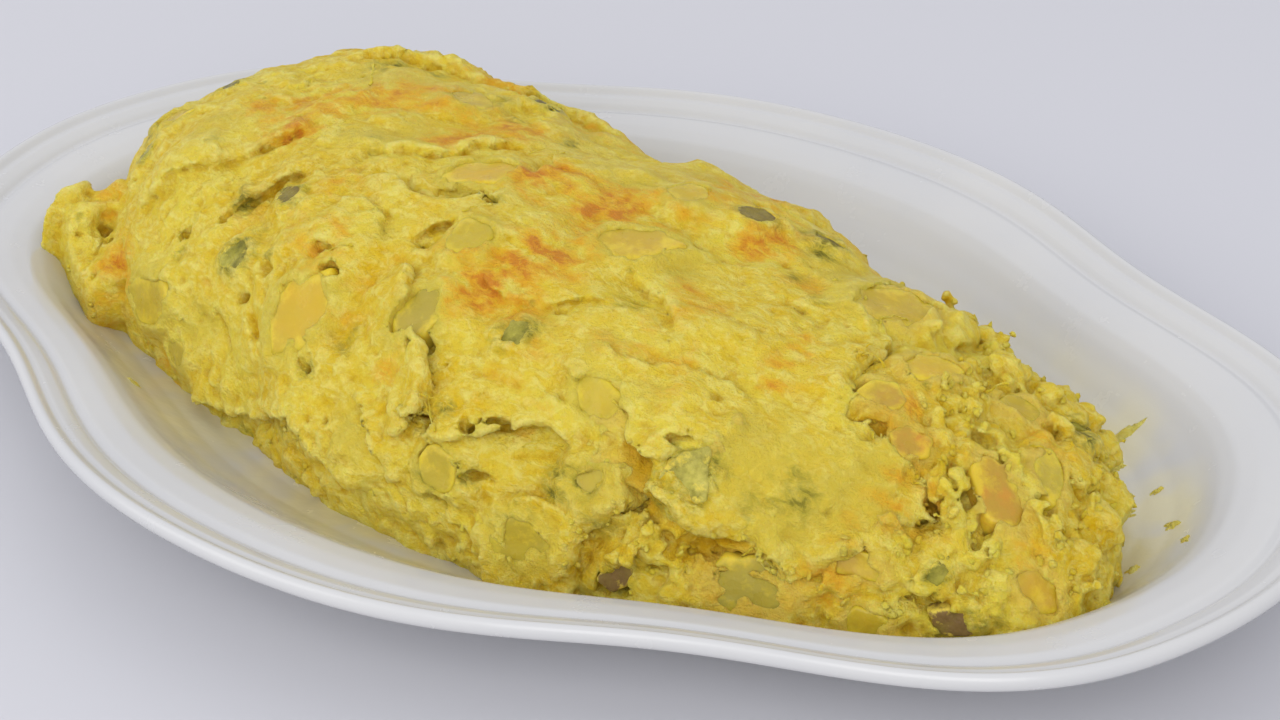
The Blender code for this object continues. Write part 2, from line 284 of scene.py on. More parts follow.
# %% The platter's node tree
def platter_tree():
    """Bends one section round the outline: the grid's columns run round, its rows along the section."""
    tree, given = new_tree("platter", {
        "Section": "Object", "Half length": "Float", "Half width": "Float", "Floor reach": "Float",
        "Around": "Int", "Along": "Int", "Glaze": "Material",
    })
    counts = {"Vertices X": given["Around"], "Vertices Y": given["Along"]}
    grid = add_node(tree, "GeometryNodeMeshGrid", counts)
    position = add_node(tree, "GeometryNodeInputPosition").outputs[0]
    where = add_node(tree, "ShaderNodeSeparateXYZ", {0: position}).outputs
    turn = math_node(tree, "MULTIPLY", math_node(tree, "ADD", where[0], 0.5), 2 * math.pi)
    share = math_node(tree, "ADD", where[1], 0.5)
    curve = add_node(tree, "GeometryNodeObjectInfo", {"Object": given["Section"]}).outputs["Geometry"]
    sample = add_node(tree, "GeometryNodeSampleCurve", {"Curves": curve, "Factor": share}, mode="FACTOR")
    row = add_node(tree, "ShaderNodeSeparateXYZ", {0: sample.outputs["Position"]})
    out, height = row.outputs[0], row.outputs[2]
    wave = 0.0
    for k, size in enumerate(OUTLINE_WAVES):
        lobe = math_node(tree, "COSINE", math_node(tree, "MULTIPLY", turn, 2.0 * (k + 1)))
        wave = math_node(tree, "ADD", math_node(tree, "MULTIPLY", lobe, size), wave)
    inward = math_node(tree, "DIVIDE", math_node(tree, "MULTIPLY", out, -1.0), given["Floor reach"])
    inward = math_node(tree, "MINIMUM", math_node(tree, "MAXIMUM", inward, 0.0), 1.0)
    fade = math_node(tree, "SUBTRACT", 1.0, math_node(tree, "MULTIPLY", inward, FLOOR_EVEN))
    grow = math_node(tree, "ADD", math_node(tree, "MULTIPLY", wave, fade), 1.0)
    place = add_node(tree, "ShaderNodeCombineXYZ")
    for axis, half, bend in ((0, "Half length", "COSINE"), (1, "Half width", "SINE")):
        reach = math_node(tree, "MULTIPLY", math_node(tree, "ADD", given[half], out), grow)
        join(tree, math_node(tree, "MULTIPLY", reach, math_node(tree, bend, turn)), place.inputs[axis])
    join(tree, height, place.inputs[2])
    return chain(tree, grid.outputs["Mesh"], (
        ("GeometryNodeSetPosition", {"Position": place.outputs[0]}),
        ("GeometryNodeMergeByDistance", {"Distance": 0.00001}),
        ("GeometryNodeSetShadeSmooth", {}),
        ("GeometryNodeRealizeInstances", {}),
        ("GeometryNodeSetMaterial", {"Material": given["Glaze"]}),
    ))


def section_curve():
    """The section as a curve whose x is the distance out from the groove line and z the height."""
    curve = bpy.data.curves.new("section", "CURVE")
    curve.dimensions = "3D"
    spline = curve.splines.new("POLY")
    spline.points.add(len(SECTION_MM) - 1)
    for point, (out, height) in zip(spline.points, SECTION_MM):
        point.co = (out * MM, 0, height * MM, 1)
    return placed("section", curve)


glaze, glaze_tree, glaze_shader = new_material("white glaze", {
    "Base Color": (0.60, 0.60, 0.59, 1), "Roughness": 0.25, "Specular IOR Level": 0.45,
})
section = section_curve()
platter = nodes_object("platter", bpy.data.meshes.new("platter"), platter_tree(), {
    "Section": section, "Half length": GROOVE_HALF[0], "Half width": GROOVE_HALF[1], "Floor reach": FLOOR_IN,
    "Around": 281, "Along": 300, "Glaze": glaze,
})
bpy.data.objects.remove(section)
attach(platter, "root")
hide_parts("plate")
print("platter faces:", len(platter.data.polygons), "mm:", [round(v / MM, 1) for v in platter.dimensions])

# %% [markdown]
# ## Noise
# Cooked egg is uneven at every scale, so we need a smooth random field that can be asked for at a
# million points at once. Blender's own noise takes one point per call. A short version on arrays
# gives each corner of a lattice a random slope and blends the slopes, which is quick enough.

# %% Noise on arrays
def corner_slopes(i, j, k, seed):
    """Three random numbers from -1 to 1 for each lattice corner, ten bits each of one scrambled number."""
    mixed = (i * np.uint32(73856093)) ^ (j * np.uint32(19349663)) ^ (k * np.uint32(83492791))
    mixed ^= np.uint32(seed * 9781 + 17)
    for shift, factor in ((13, 1540483477), (15, 668265263)):
        mixed ^= mixed >> np.uint32(shift)
        mixed *= np.uint32(factor)
    mixed ^= mixed >> np.uint32(16)
    parts = [(mixed >> np.uint32(shift)) & np.uint32(1023) for shift in (0, 10, 20)]
    return [part.astype(np.float32) / 511.5 - 1 for part in parts]


def lattice_cells(scaled):
    """The lattice cell of each point, and where in its cell the point lies."""
    cell = np.floor(scaled)
    return cell.astype(np.uint32), scaled - cell


def smooth_noise(points, size, seed):
    """A smooth field from about -1 to 1 whose bumps are `size` across."""
    cell, part = lattice_cells((points / np.asarray(size, np.float32)).astype(np.float32) + np.float32(500))
    ease = part * part * part * (part * (part * 6 - 15) + 10)
    total = np.zeros(len(points), np.float32)
    for corner in range(8):
        step = dx, dy, dz = corner & 1, corner >> 1 & 1, corner >> 2
        gx, gy, gz = corner_slopes(*(cell[:, n] + np.uint32(d) for n, d in enumerate(step)), seed)
        wx, wy, wz = (ease[:, n] if d else 1 - ease[:, n] for n, d in enumerate(step))
        total += wx * wy * wz * (gx * (part[:, 0] - dx) + gy * (part[:, 1] - dy) + gz * (part[:, 2] - dz))
    return total * 1.35


def layered_noise(points, size, seed, layers=3):
    """Smooth noise with finer layers at half the size and half the height."""
    total, height = np.zeros(len(points), np.float32), 1.0
    for layer in range(layers):
        total += height * smooth_noise(points, np.asarray(size, float) / 2 ** layer, seed + 11 * layer)
        height *= 0.5
    return total


def nearest_spots(points, size, seed):
    """How far, in lattice steps, the nearest two of many scattered spots are, and the nearest's number."""
    cell, part = lattice_cells((points / np.float32(size) + 500).astype(np.float32))
    first, second, name = (np.full(len(points), value, np.float32) for value in (9.0, 9.0, 0.0))
    for step in itertools.product((-1, 0, 1), repeat=3):
        jitter = corner_slopes(*(cell[:, n] + np.uint32(d & 0xFFFFFFFF) for n, d in enumerate(step)), seed)
        away = sum((d + 0.5 + 0.45 * jitter[n] - part[:, n]) ** 2 for n, d in enumerate(step))
        second = np.minimum(second, np.maximum(first, away))
        name = np.where(away < first, (jitter[0] * 7.3 + jitter[1] * 3.1) % 1.0, name)
        first = np.minimum(first, away)
    return np.sqrt(first), np.sqrt(second), name


def lumpiness(points, size, seed):
    """Rounded lumps packed side by side: 1 on a lump's middle, 0 in the creases between lumps."""
    first, second, _ = nearest_spots(points, size, seed)
    return np.clip((second - first) * 1.6, 0, 1)


sample = np.random.default_rng(1).uniform(0, 100, (20000, 3)).astype(np.float32)
print("noise spread:", round(float(smooth_noise(sample, 10, 3).std()), 2))

# %% [markdown]
# ## The form of the omelette
# The folded cake has a simple big form: a rounded loaf, higher and wider at the fold and tapering to
# the torn end, with broad soft lobes. We describe it with a few cross-sections, the same ones as the
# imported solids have, so that every potato slice lies where its solid does.

# %% Cross-sections of the loaf
STATIONS_MM = np.array((
    # x, middle in y, half width, height
    (-140, -2, 12, 13), (-135, 1, 28, 31), (-126, 5, 42, 41), (-111, 9, 55, 49), (-90, 8, 62, 53),
    (-64, 4, 65, 55), (-32, -4, 66, 56), (0, -9, 67, 56), (34, -12, 65, 53), (64, -13, 58, 50),
    (92, -12, 50, 45), (114, -11, 41, 38), (131, -12, 31, 31), (142, -16, 19, 20), (147, -18, 7, 9),
), float)
WELL_FLOOR = 6.0
ROUNDNESS = 2.35
LOBES = (
    # x, angle, radius, height
    (-100, 60, 20, 3), (-60, 95, 26, 2), (-40, 45, 22, 4), (5, 70, 24, 3), (18, 28, 20, 4), (50, 60, 20, 3),
    (-80, 25, 18, 4), (-15, 15, 16, 4), (30, 110, 24, 3), (-90, 130, 24, 3), (80, 40, 16, 3),
)
END_LOBES_MM = (
    # middle x, y, z, radii
    (-134, -34, 19, 11, 14, 13), (-126, -42, 17, 11, 9, 10), (-112, -45, 17, 13, 10, 10),
    (-124, -27, 26, 10, 9, 8),
)


def smooth_rows(rows, count):
    """Rows on a smooth curve through the given ones."""
    place = np.linspace(0, len(rows) - 1 - 1e-9, count)
    i = place.astype(int)
    u = (place - i)[:, None]
    before, here, there, after = (rows[np.clip(i + k, 0, len(rows) - 1)] for k in (-1, 0, 1, 2))
    return 0.5 * (
        2 * here + (there - before) * u + (2 * before - 5 * here + 4 * there - after) * u ** 2
        + (3 * here - before - 3 * there + after) * u ** 3
    )


def rounded_end(section, reach, steps):
    """Smaller and smaller sections that close an end; reach is how far they go on along x, in mm."""
    x, middle, *sizes = section
    rows = []
    for share in (k / steps for k in range(1, steps + 1)):
        smaller = [size * math.cos(share * 1.56) for size in sizes]
        rows.append((x + reach * math.sin(share * math.pi / 2), middle, *smaller))
    return rows


SECTIONS = smooth_rows(STATIONS_MM, 900)
SECTIONS = np.vstack([rounded_end(SECTIONS[0], -5, 12)[::-1], SECTIONS, rounded_end(SECTIONS[-1], 3, 8)])


def section_at(x):
    """Middle, half width and height of the loaf at each x."""
    return [np.interp(x, SECTIONS[:, 0], SECTIONS[:, k]) for k in (1, 2, 3)]


def loaf_point(x, angle):
    """A point on the plain loaf; the angle is 0 at the near foot, 90 on top and 180 at the far foot."""
    middle, half, height = section_at(x)
    c, s = np.cos(np.radians(angle)), np.sin(np.radians(angle))
    y = middle - half * np.sign(c) * np.abs(c) ** (2 / ROUNDNESS)
    return np.stack([x + 0 * y, y, WELL_FLOOR + height * np.abs(s) ** (2 / ROUNDNESS)], -1)


def loaf_outward(x, angle):
    """Unit directions away from a line low in the middle of the loaf."""
    middle, half, height = section_at(x)
    core = np.stack([x * 0.93, middle + 0 * x, WELL_FLOOR + 0.3 * height], -1)
    away = loaf_point(x, angle) - core
    return away / np.linalg.norm(away, axis=-1, keepdims=True)


X_STEP, ANGLE_STEP = 2.0, 3.0
SWELL_X, SWELL_ANGLE = np.arange(-146, 152, X_STEP), np.arange(0, 181, ANGLE_STEP)


def swell_table():
    """How far the broad lobes stand out of the plain loaf, for a grid of places."""
    x, angle = (grid.ravel() for grid in np.meshgrid(SWELL_X, SWELL_ANGLE, indexing="ij"))
    here = loaf_point(x, angle)
    total = np.array([1.6 * noise(Vector(p) * 0.055) + 0.8 * noise(Vector(p) * 0.130) - 1.0 for p in here])
    for lobe_x, lobe_angle, radius, height in LOBES:
        middle = loaf_point(np.array([float(lobe_x)]), np.array([float(lobe_angle)]))
        total += height * np.exp(-(((here - middle) ** 2).sum(-1) / radius ** 2))
    return total.reshape(len(SWELL_X), len(SWELL_ANGLE))


SWELL = swell_table()


def swell_at(x, angle):
    """The table read between its rows and columns."""
    u = np.clip((x - SWELL_X[0]) / X_STEP, 0, len(SWELL_X) - 1.001)
    v = np.clip(angle / ANGLE_STEP, 0, len(SWELL_ANGLE) - 1.001)
    i, j = u.astype(int), v.astype(int)
    u, v = u - i, v - j
    low, high = (SWELL[i, row] * (1 - u) + SWELL[i + 1, row] * u for row in (j, j + 1))
    return low * (1 - v) + high * v


def surface_point(x, angle):
    """A point on the swollen surface."""
    x, angle = np.atleast_1d(np.asarray(x, float)), np.atleast_1d(np.asarray(angle, float))
    return loaf_point(x, angle) + loaf_outward(x, angle) * swell_at(x, angle)[:, None]


def surface_frame(x, angle, heading=0.0):
    """Point, length direction, width direction and outward direction at a place of the surface."""
    here = surface_point(x, angle)[0]
    along = (surface_point(x + 1.5, angle) - surface_point(x - 1.5, angle))[0]
    around = (surface_point(x, angle + 2.9) - surface_point(x, angle - 2.9))[0]
    normal = np.cross(along, around)
    normal /= np.linalg.norm(normal)
    if normal @ loaf_outward(np.array([float(x)]), np.array([float(angle)]))[0] < 0:
        normal = -normal
    along = along - normal * (along @ normal)
    along /= np.linalg.norm(along)
    side = np.cross(normal, along)
    turn = math.radians(heading)
    length_way = along * math.cos(turn) + side * math.sin(turn)
    return here, length_way, np.cross(normal, length_way), normal


crest = surface_point(np.arange(-130, 140, 5.0), np.full(54, 90.0))
print("loaf top mm:", crest[:, 2].max().round(1))

# %% [markdown]
# ## Where the egg meets the well
# The omelette's foot follows the curve of the well. We need the well's height under any point, so we
# solve the outline formula for the distance out from the groove line, and read the section there.

# %% Height of the well
def well_height(x, y):
    """Height of the glaze at each place, in mm."""
    out = np.full(x.shape, -40.0)
    for _ in range(12):
        a, b = GROOVE_HALF[0] / MM + out, GROOVE_HALF[1] / MM + out
        turn = np.arctan2(y / b, x / a)
        wave = sum(size * np.cos(2 * (k + 1) * turn) for k, size in enumerate(OUTLINE_WAVES))
        grow = 1 + wave * (1 - FLOOR_EVEN * np.clip(-out / (FLOOR_IN / MM), 0, 1))
        ratio = np.sqrt((x / (a * grow)) ** 2 + (y / (b * grow)) ** 2)
        out = np.clip(out + (ratio - 1) * 0.8 * np.minimum(a, b), -100, 9)
    top = np.array(WELL_MM + RIM_MM)
    return np.interp(out, top[:, 0], top[:, 1])


heights = well_height(np.array([0.0, 30.0]), np.array([0.0, -77.0])).round(1)
print("well at the middle and near the front foot:", heights)

# %% [markdown]
# ## Sculpting with distances
# The egg has overhanging torn sheets, pits and cracks, which a displaced surface can't make. Instead we
# fill a block of space with small cells, give each cell its distance from the egg's surface, and carve
# by changing the distances. At the end a net of faces is drawn where the distance changes sign.

# %% Distances from the plain loaf
def loaf_distance(xs, ys, zs):
    """Signed distance from the plain loaf, inside negative, and the angle round it, for a block of cells."""
    middle, half, height = (value[:, None, None].astype(np.float32) for value in section_at(xs))
    across = ys[None, :, None].astype(np.float32) - middle
    above = np.maximum(zs[None, None, :].astype(np.float32) - np.float32(WELL_FLOOR), 0)
    p, q = (np.abs(across) / half) ** ROUNDNESS, (above / height) ** ROUNDNESS
    ratio = np.maximum((p + q) ** (1 / ROUNDNESS), 1e-3)
    radius = np.sqrt(across ** 2 + above ** 2) + np.float32(1e-3)
    distance = radius * (1 - 1 / ratio)
    slopes = np.gradient(distance, xs, ys, zs)
    steep = np.sqrt(sum(slope ** 2 for slope in slopes))
    distance /= np.clip(steep, 0.8, 3.0)
    angle = np.degrees(np.arctan2(np.sqrt(q), np.sqrt(p) * -np.sign(across)))
    return distance.astype(np.float32), angle.astype(np.float32)


def net_of_faces(field, origin, step):
    """A closed net of quads on the zero level: one point in each cell that the surface crosses."""
    inside = field < 0
    count = np.zeros(tuple(n - 1 for n in field.shape), np.uint8)
    corners = list(itertools.product((0, 1), repeat=3))
    size = count.shape
    for a, b, c in corners:
        count += inside[a:a + size[0], b:b + size[1], c:c + size[2]]
    cells = np.argwhere((count > 0) & (count < 8))
    number = np.full(size, -1, np.int32)
    number[tuple(cells.T)] = np.arange(len(cells))
    total, hits = np.zeros((len(cells), 3)), np.zeros(len(cells))
    for one in corners:
        for axis in range(3):
            if one[axis]:
                continue
            other = list(one)
            other[axis] = 1
            first = field[tuple((cells + one).T)]
            second = field[tuple((cells + other).T)]
            crossed = (first < 0) != (second < 0)
            share = np.where(crossed, first / np.where(crossed, first - second, 1), 0)
            spot = np.array(one, float) + np.zeros((len(cells), 3))
            spot[:, axis] += share
            total += spot * crossed[:, None]
            hits += crossed
    points = (cells + total / hits[:, None]) * step + origin
    quads = []
    for axis in range(3):
        low = [slice(1, -1)] * 3
        high = [slice(1, -1)] * 3
        low[axis], high[axis] = slice(0, -1), slice(1, None)
        enter = inside[tuple(low)] & ~inside[tuple(high)]
        leave = ~inside[tuple(low)] & inside[tuple(high)]
        for changed, flip in ((enter, False), (leave, True)):
            at = np.argwhere(changed)
            for n in range(3):
                if n != axis:
                    at[:, n] += 1
            u, v = (axis + 1) % 3, (axis + 2) % 3
            ring = []
            for du, dv in ((1, 1), (0, 1), (0, 0), (1, 0)):
                cell = at.copy()
                cell[:, u] -= du
                cell[:, v] -= dv
                ring.append(number[tuple(cell.T)])
            quad = np.stack(ring, 1)
            quads.append(quad[:, ::-1] if flip else quad)
    return points, np.vstack(quads)


def relaxed(points, quads, rounds, strength):
    """Evens a net by moving each point towards the middle of its neighbours."""
    ends = np.vstack([quads[:, [k, (k + 1) % 4]] for k in range(4)])
    number = len(points)
    degree = np.bincount(ends.ravel(), minlength=number)[:, None]
    for _ in range(rounds):
        total = np.stack([
            sum(np.bincount(ends[:, one], points[ends[:, 1 - one], n], number) for one in (0, 1))
            for n in range(3)
        ], 1)
        points = points + strength * (total / degree - points)
    return points


BALL = 4.2
test = np.sqrt(sum(grid ** 2 for grid in np.meshgrid(*[np.arange(-6, 7.0)] * 3, indexing="ij"))) - BALL
ball_points, ball_quads = net_of_faces(test, np.array([-6.0] * 3), 1.0)
measured = np.linalg.norm(ball_points, axis=1).mean().round(2)
print("a ball of radius", BALL, "measures", measured, "and has quads:", len(ball_quads))

# %% [markdown]
# ## Lines and holes
# Folds, torn edges and cracks all follow lines over the surface. For each line we need to know, for a
# cell, how far it lies to the left of the line and how far along. The same holds for the slices of
# potato and pepper, where the question is how far the cell lies outside the slice's outline.

# %% Tools for carving
def soft_step(value, low, high):
    """0 below low, 1 above high, eased in between."""
    share = np.clip((value - low) / (high - low), 0, 1)
    return share * share * (3 - 2 * share)


def soft_least(a, b, width):
    """The lesser of two distances, with a rounded crease."""
    blend = np.clip(0.5 + 0.5 * (b - a) / width, 0, 1)
    return b + (a - b) * blend - width * blend * (1 - blend)


def outward_at(x, angle):
    """Unit outward directions of the plain loaf."""
    along = loaf_point(x + 1.5, angle) - loaf_point(x - 1.5, angle)
    around = loaf_point(x, angle + 2.0) - loaf_point(x, angle - 2.0)
    out = np.cross(along, around)
    return out / np.linalg.norm(out, axis=-1, keepdims=True)


def surface_line(stops, spacing=1.6):
    """Even points of a line through (x, angle) stops, their outward directions and the run to each."""
    rows = smooth_rows(np.array(stops, float), 24 * len(stops))
    run = np.concatenate([[0], np.cumsum(np.linalg.norm(np.diff(surface_point(*rows.T), axis=0), axis=1))])
    at = np.linspace(0, run[-1], max(3, int(run[-1] / spacing)))
    x, angle = (np.interp(at, run, rows[:, k]) for k in (0, 1))
    return surface_point(x, angle), outward_at(x, angle), at


def beside_line(points, line):
    """How far each point lies to the left of a line, seen from outside, and the run along the line."""
    here, out, at = line
    best = np.full(len(points), 1e6, np.float32)
    side, run = np.ones(len(points), np.float32), np.zeros(len(points), np.float32)
    for k in range(len(at) - 1):
        length = float(np.linalg.norm(here[k + 1] - here[k])) + 1e-6
        way = ((here[k + 1] - here[k]) / length).astype(np.float32)
        left = np.cross(out[k], way).astype(np.float32)
        from_here = points - here[k].astype(np.float32)
        along, across = from_here @ way, from_here @ left
        held = np.clip(along, 0, length)
        away = across ** 2 + (along - held) ** 2
        near = away < best
        best[near], side[near], run[near] = away[near], np.sign(across[near]), at[k] + held[near]
    return np.sqrt(best) * side, run


def slice_outline(corners, seed, around=78):
    """The outline of a slice of unit half length and half width, and the tilt of its top."""
    draw = random.Random(seed)
    ring = []
    for k in range(corners):
        turn = 2 * math.pi * (k + draw.uniform(-0.22, 0.22)) / corners
        reach = draw.uniform(0.86, 1.06)
        ring.append((reach * math.cos(turn), reach * math.sin(turn)))
    tilt = (draw.uniform(-0.08, 0.08), draw.uniform(-0.08, 0.08))
    ring = np.array(ring + ring[:1])
    at = np.linspace(0, corners, around, endpoint=False)
    outline = np.stack([np.interp(at, range(corners + 1), ring[:, k]) for k in (0, 1)], 1)
    for _ in range(4):
        outline = 0.5 * outline + 0.25 * (np.roll(outline, 1, 0) + np.roll(outline, -1, 0))
    return outline * 1.03, tilt


CUT_UNDER_GLAZE = 0.9  # how deep the egg may reach into the platter, in mm


class Sculpture:
    """Cells close to the surface of a body of egg, with the tools that push their distances about."""

    def __init__(self, low, high, step, band=9.0):
        self.step = step
        self.xs, self.ys, self.zs = (np.arange(a, b, step) for a, b in zip(low, high))
        base, angle = loaf_distance(self.xs, self.ys, self.zs)
        self.field = base
        self.where = np.argwhere(np.abs(base) < band)
        self.points = (self.where * step + np.array(low)).astype(np.float32)
        at = tuple(self.where.T)
        self.angle = angle[at]
        self.base = base[at] - swell_at(self.points[:, 0], self.angle).astype(np.float32)
        self.d = self.base.copy()

    def near(self, middle, reach):
        """Which cells lie in the box round some points, made wider by the reach."""
        low, high = np.min(middle, 0) - reach, np.max(middle, 0) + reach
        return np.flatnonzero(((self.points > low) & (self.points < high)).all(1))

    def along(self, stops, reach, ease):
        """Cells near a line: which, where, how far to its left, and a share that fades at its ends."""
        line = surface_line(stops)
        near = self.near(line[0], reach)
        points = self.points[near]
        side, run = beside_line(points, line)
        return near, points, side, soft_step(run, 0, ease) * soft_step(line[2][-1] - run, 0, ease)

    def ledge(self, stops, rise, drop, reach=6.0, high=1, lean=0.5, seed=0, ragged=0.9):
        """A layer that ends along a line: raised on its high side, sunk below, its edge leaning over."""
        near, points, side, fade = self.along(stops, 2.6 * reach, 6)
        tatter = 1.4 * smooth_noise(points, 4.0, seed) + 0.9 * smooth_noise(points, 1.9, seed + 1)
        side = high * side + ragged * tatter
        side -= lean * np.clip(-self.d[near], -1.5, 4)
        upper = 1 / (1 + np.exp(np.clip(-side / 0.32, -30, 30)))
        raised = rise * np.exp(-np.maximum(side, 0) / reach)
        sunk = drop * np.exp(-np.maximum(-side, 0) / (0.45 * reach))
        self.d[near] -= fade * (raised * upper - sunk * (1 - upper))

    def crack(self, stops, width, depth, seed=0):
        """A narrow valley along a line."""
        near, points, side, fade = self.along(stops, 4 * width + 2, 4)
        side = side + 0.8 * smooth_noise(points, 3.0, seed)
        self.d[near] += fade * depth * np.exp(-((side / width) ** 2))

    def ridge(self, stops, width, height, seed=0, rough=0.5):
        """A strand of egg that lies on the surface along a line."""
        near, points, side, fade = self.along(stops, width + 7, 4)
        wide = width * (0.35 + 0.65 * fade) * (1 + rough * 1.6 * smooth_noise(points, 5.0, seed))
        bend = side + 1.6 * smooth_noise(points, 7.0, seed + 1)
        level = self.d[near] - height * fade * (1 + rough * smooth_noise(points, 4.0, seed + 2))
        strand = np.maximum(np.abs(bend) - wide, level)
        self.d[near] = soft_least(self.d[near], strand, 0.9)

    def blob(self, x, angle, radii, heading=0.0, lift=0.0, add=True, seed=0, rough=0.25, soft=0.8):
        """An uneven rounded lump, added or taken away."""
        here, length_way, width_way, out = surface_frame(x, angle, heading)
        near = self.near(here[None], max(radii) * 1.6 + 2)
        points = self.points[near]
        local = points - (here + out * lift)
        size = np.array(radii, float)
        ratio = np.sqrt(sum((local @ way / r) ** 2 for way, r in zip((length_way, width_way, out), size)))
        ratio = ratio * (1 + rough * 1.5 * smooth_noise(points, max(2.0, float(size[:2].min())), seed + 5))
        lump = (ratio - 1) * float(size.min())
        self.d[near] = soft_least(self.d[near], lump, soft) if add else -soft_least(-self.d[near], lump, 0.3)

    def window(self, x, angle, heading, length, width, outline, cling, cover, seed):
        """Lets a slice show: egg clings up to its top, and is cleared off the top but for a frayed rim."""
        here, length_way, width_way, out = surface_frame(x, angle, heading)
        near = self.near(here[None], 0.75 * max(length, width) + 7)
        points = self.points[near]
        local = points - here
        u, v = local @ length_way / (length / 2), local @ width_way / (width / 2)
        turns = np.arctan2(outline[:, 1], outline[:, 0])
        ratio = np.hypot(u, v) / np.interp(np.arctan2(v, u), turns, np.hypot(*outline.T), period=2 * math.pi)
        beyond = (ratio - 1) * min(length, width) / 2 + 0.5 * smooth_noise(points, 2.4, seed)
        over = local @ out - PROUD
        swell = 0.9 * smooth_noise(points, 6.0, seed + 1) + 0.5 * smooth_noise(points, 2.6, seed + 2)
        collar = over + (0.9 - cling) - swell + 0.55 * np.maximum(beyond, 0) ** 1.2
        collar = np.where((np.abs(over) < 8) & (beyond < 7), collar, 99)
        self.d[near] = soft_least(self.d[near], collar, 0.8)
        beyond += 1.5 + 1.9 * smooth_noise(points, 5.0, seed + 3)
        beyond += cover * min(length, width) * (0.5 + smooth_noise(points, 0.5 * length, seed + 4))
        self.d[near] = np.maximum(self.d[near], np.minimum(-beyond, over + 0.9))

    def net(self):
        """Faces of the carved body, cut just under the glaze; the foot is left open."""
        self.field[tuple(self.where.T)] = self.d
        glaze = well_height(*np.meshgrid(self.xs, self.ys, indexing="ij"))
        lowest = np.where(glaze > WELL_FLOOR + 0.4, glaze - CUT_UNDER_GLAZE, -50)
        field = np.maximum(self.field, lowest[:, :, None] - self.zs)
        points, quads = net_of_faces(field, np.array([self.xs[0], self.ys[0], self.zs[0]]), self.step)
        return relaxed(points, quads, 1, 0.5), quads


print("line length:", surface_line([(0, 60), (30, 60)])[2][-1].round(1))

# %% [markdown]
# ## The slices' places
# Potato is cut in thick, uneven slices and green pepper in small squares, and both are stirred into
# the egg before it goes in the pan, so they lie at all headings. Each row gives a slice's place on the
# loaf (x in mm, angle in degrees), its heading, length and width, and how much egg has stayed over it.
# Two helpers read such tables: one adds up soft patches of colour, the other tells where slices lie.

# %% Tables of slices
POTATO_THICK, PEPPER_THICK, PROUD = 7.5, 4.5, 1.6
POTATOES = (
    (-29, 38, 80, 24, 18, 0.10), (-17, 86, 39, 20, 16, -0.1), (0, 70, 30, 13, 14, -0.1),
    (2, 50, 70, 18, 12, 0.0), (29, 87, 35, 23, 15, 0.02), (51, 50, -25, 17, 10, -0.1),
    (23, 23, 60, 13, 12, 0.0), (57, 31, 20, 16, 12, 0.15), (44, 13, 8, 18, 13, 0.12),
    (91, 16, 5, 22, 13, 0.2), (113, 13, 10, 11, 8, 0.0), (109, 30, 0, 15, 7, 0.0),
    (126, 69, -38, 20, 11, -0.1), (130, 89, -38, 15, 9, -0.1), (99, 92, 35, 15, 12, -0.1),
    (80, 107, 60, 24, 17, -0.1), (97, 79, 20, 12, 11, 0.05), (107, 70, 50, 10, 10, 0.0),
    (116, 103, 60, 13, 10, 0.0), (139, 46, 0, 13, 10, 0.0), (-86, 19, 10, 23, 16, 0.05),
    (-73, 10, 0, 13, 9, 0.0), (-118, 68, 10, 16, 11, 0.05), (-48, 102, 39, 18, 15, 0.1),
    (26, 103, 30, 14, 12, 0.1),
)
PEPPERS = (
    (-58, 40, 30, 13, 10, 0.0), (-55, 58, 10, 10, 9, 0.1), (26, 56, 45, 11, 9, 0.0),
    (75, 39, 60, 16, 13, -0.35), (41, 107, 35, 12, 9, 0.0), (54, 118, 35, 12, 9, 0.0),
    (-37, 118, 35, 11, 10, 0.1), (-112, 82, 80, 10, 7, 0.0), (-116, 53, 90, 11, 6, 0.1),
    (123, 34, 75, 9, 5, 0.0), (128, 19, 10, 12, 8, -0.1), (65, 11, 60, 12, 7, 0.0),
    (124, 122, 80, 9, 5, 0.0),
)
print("slices:", len(POTATOES), "potato,", len(PEPPERS), "pepper")


def patch_sum(points, rows):
    """The sum of soft round patches at places on the loaf."""
    total = np.zeros(len(points), np.float32)
    for x, angle, radius, strength in rows:
        middle = surface_point(x, angle)[0]
        near = np.flatnonzero(np.abs(points - middle).max(1) < 2.4 * radius)
        total[near] += strength * np.exp(-((points[near] - middle) ** 2).sum(1) / radius ** 2)
    return total


def slice_cover(points, table):
    """How close under each point a slice lies: 1 over a slice, less beyond its outline."""
    cover = np.zeros(len(points), np.float32)
    for x, angle, heading, length, width, _ in table:
        here, length_way, width_way, out = surface_frame(x, angle, heading)
        near = np.flatnonzero(np.abs(points - here).max(1) < 0.7 * length + 6)
        local = points[near] - here
        ratio = np.hypot(local @ length_way / (length / 2), local @ width_way / (width / 2))
        deep = np.exp(-((local @ out) / 6) ** 2)
        cover[near] = np.maximum(cover[near], deep * (1 - soft_step(ratio, 0.75, 1.5)))
    return cover


# %% [markdown]
# ## The skin of set egg
# The outside of the loaf is a sheet of egg that set against the pan. It is smooth over the fold and
# torn at its free edge, where it ends in a ragged lip over the filling. Folds and tears are carved
# along lines, in the order in which they lie over one another, and small pores come last.

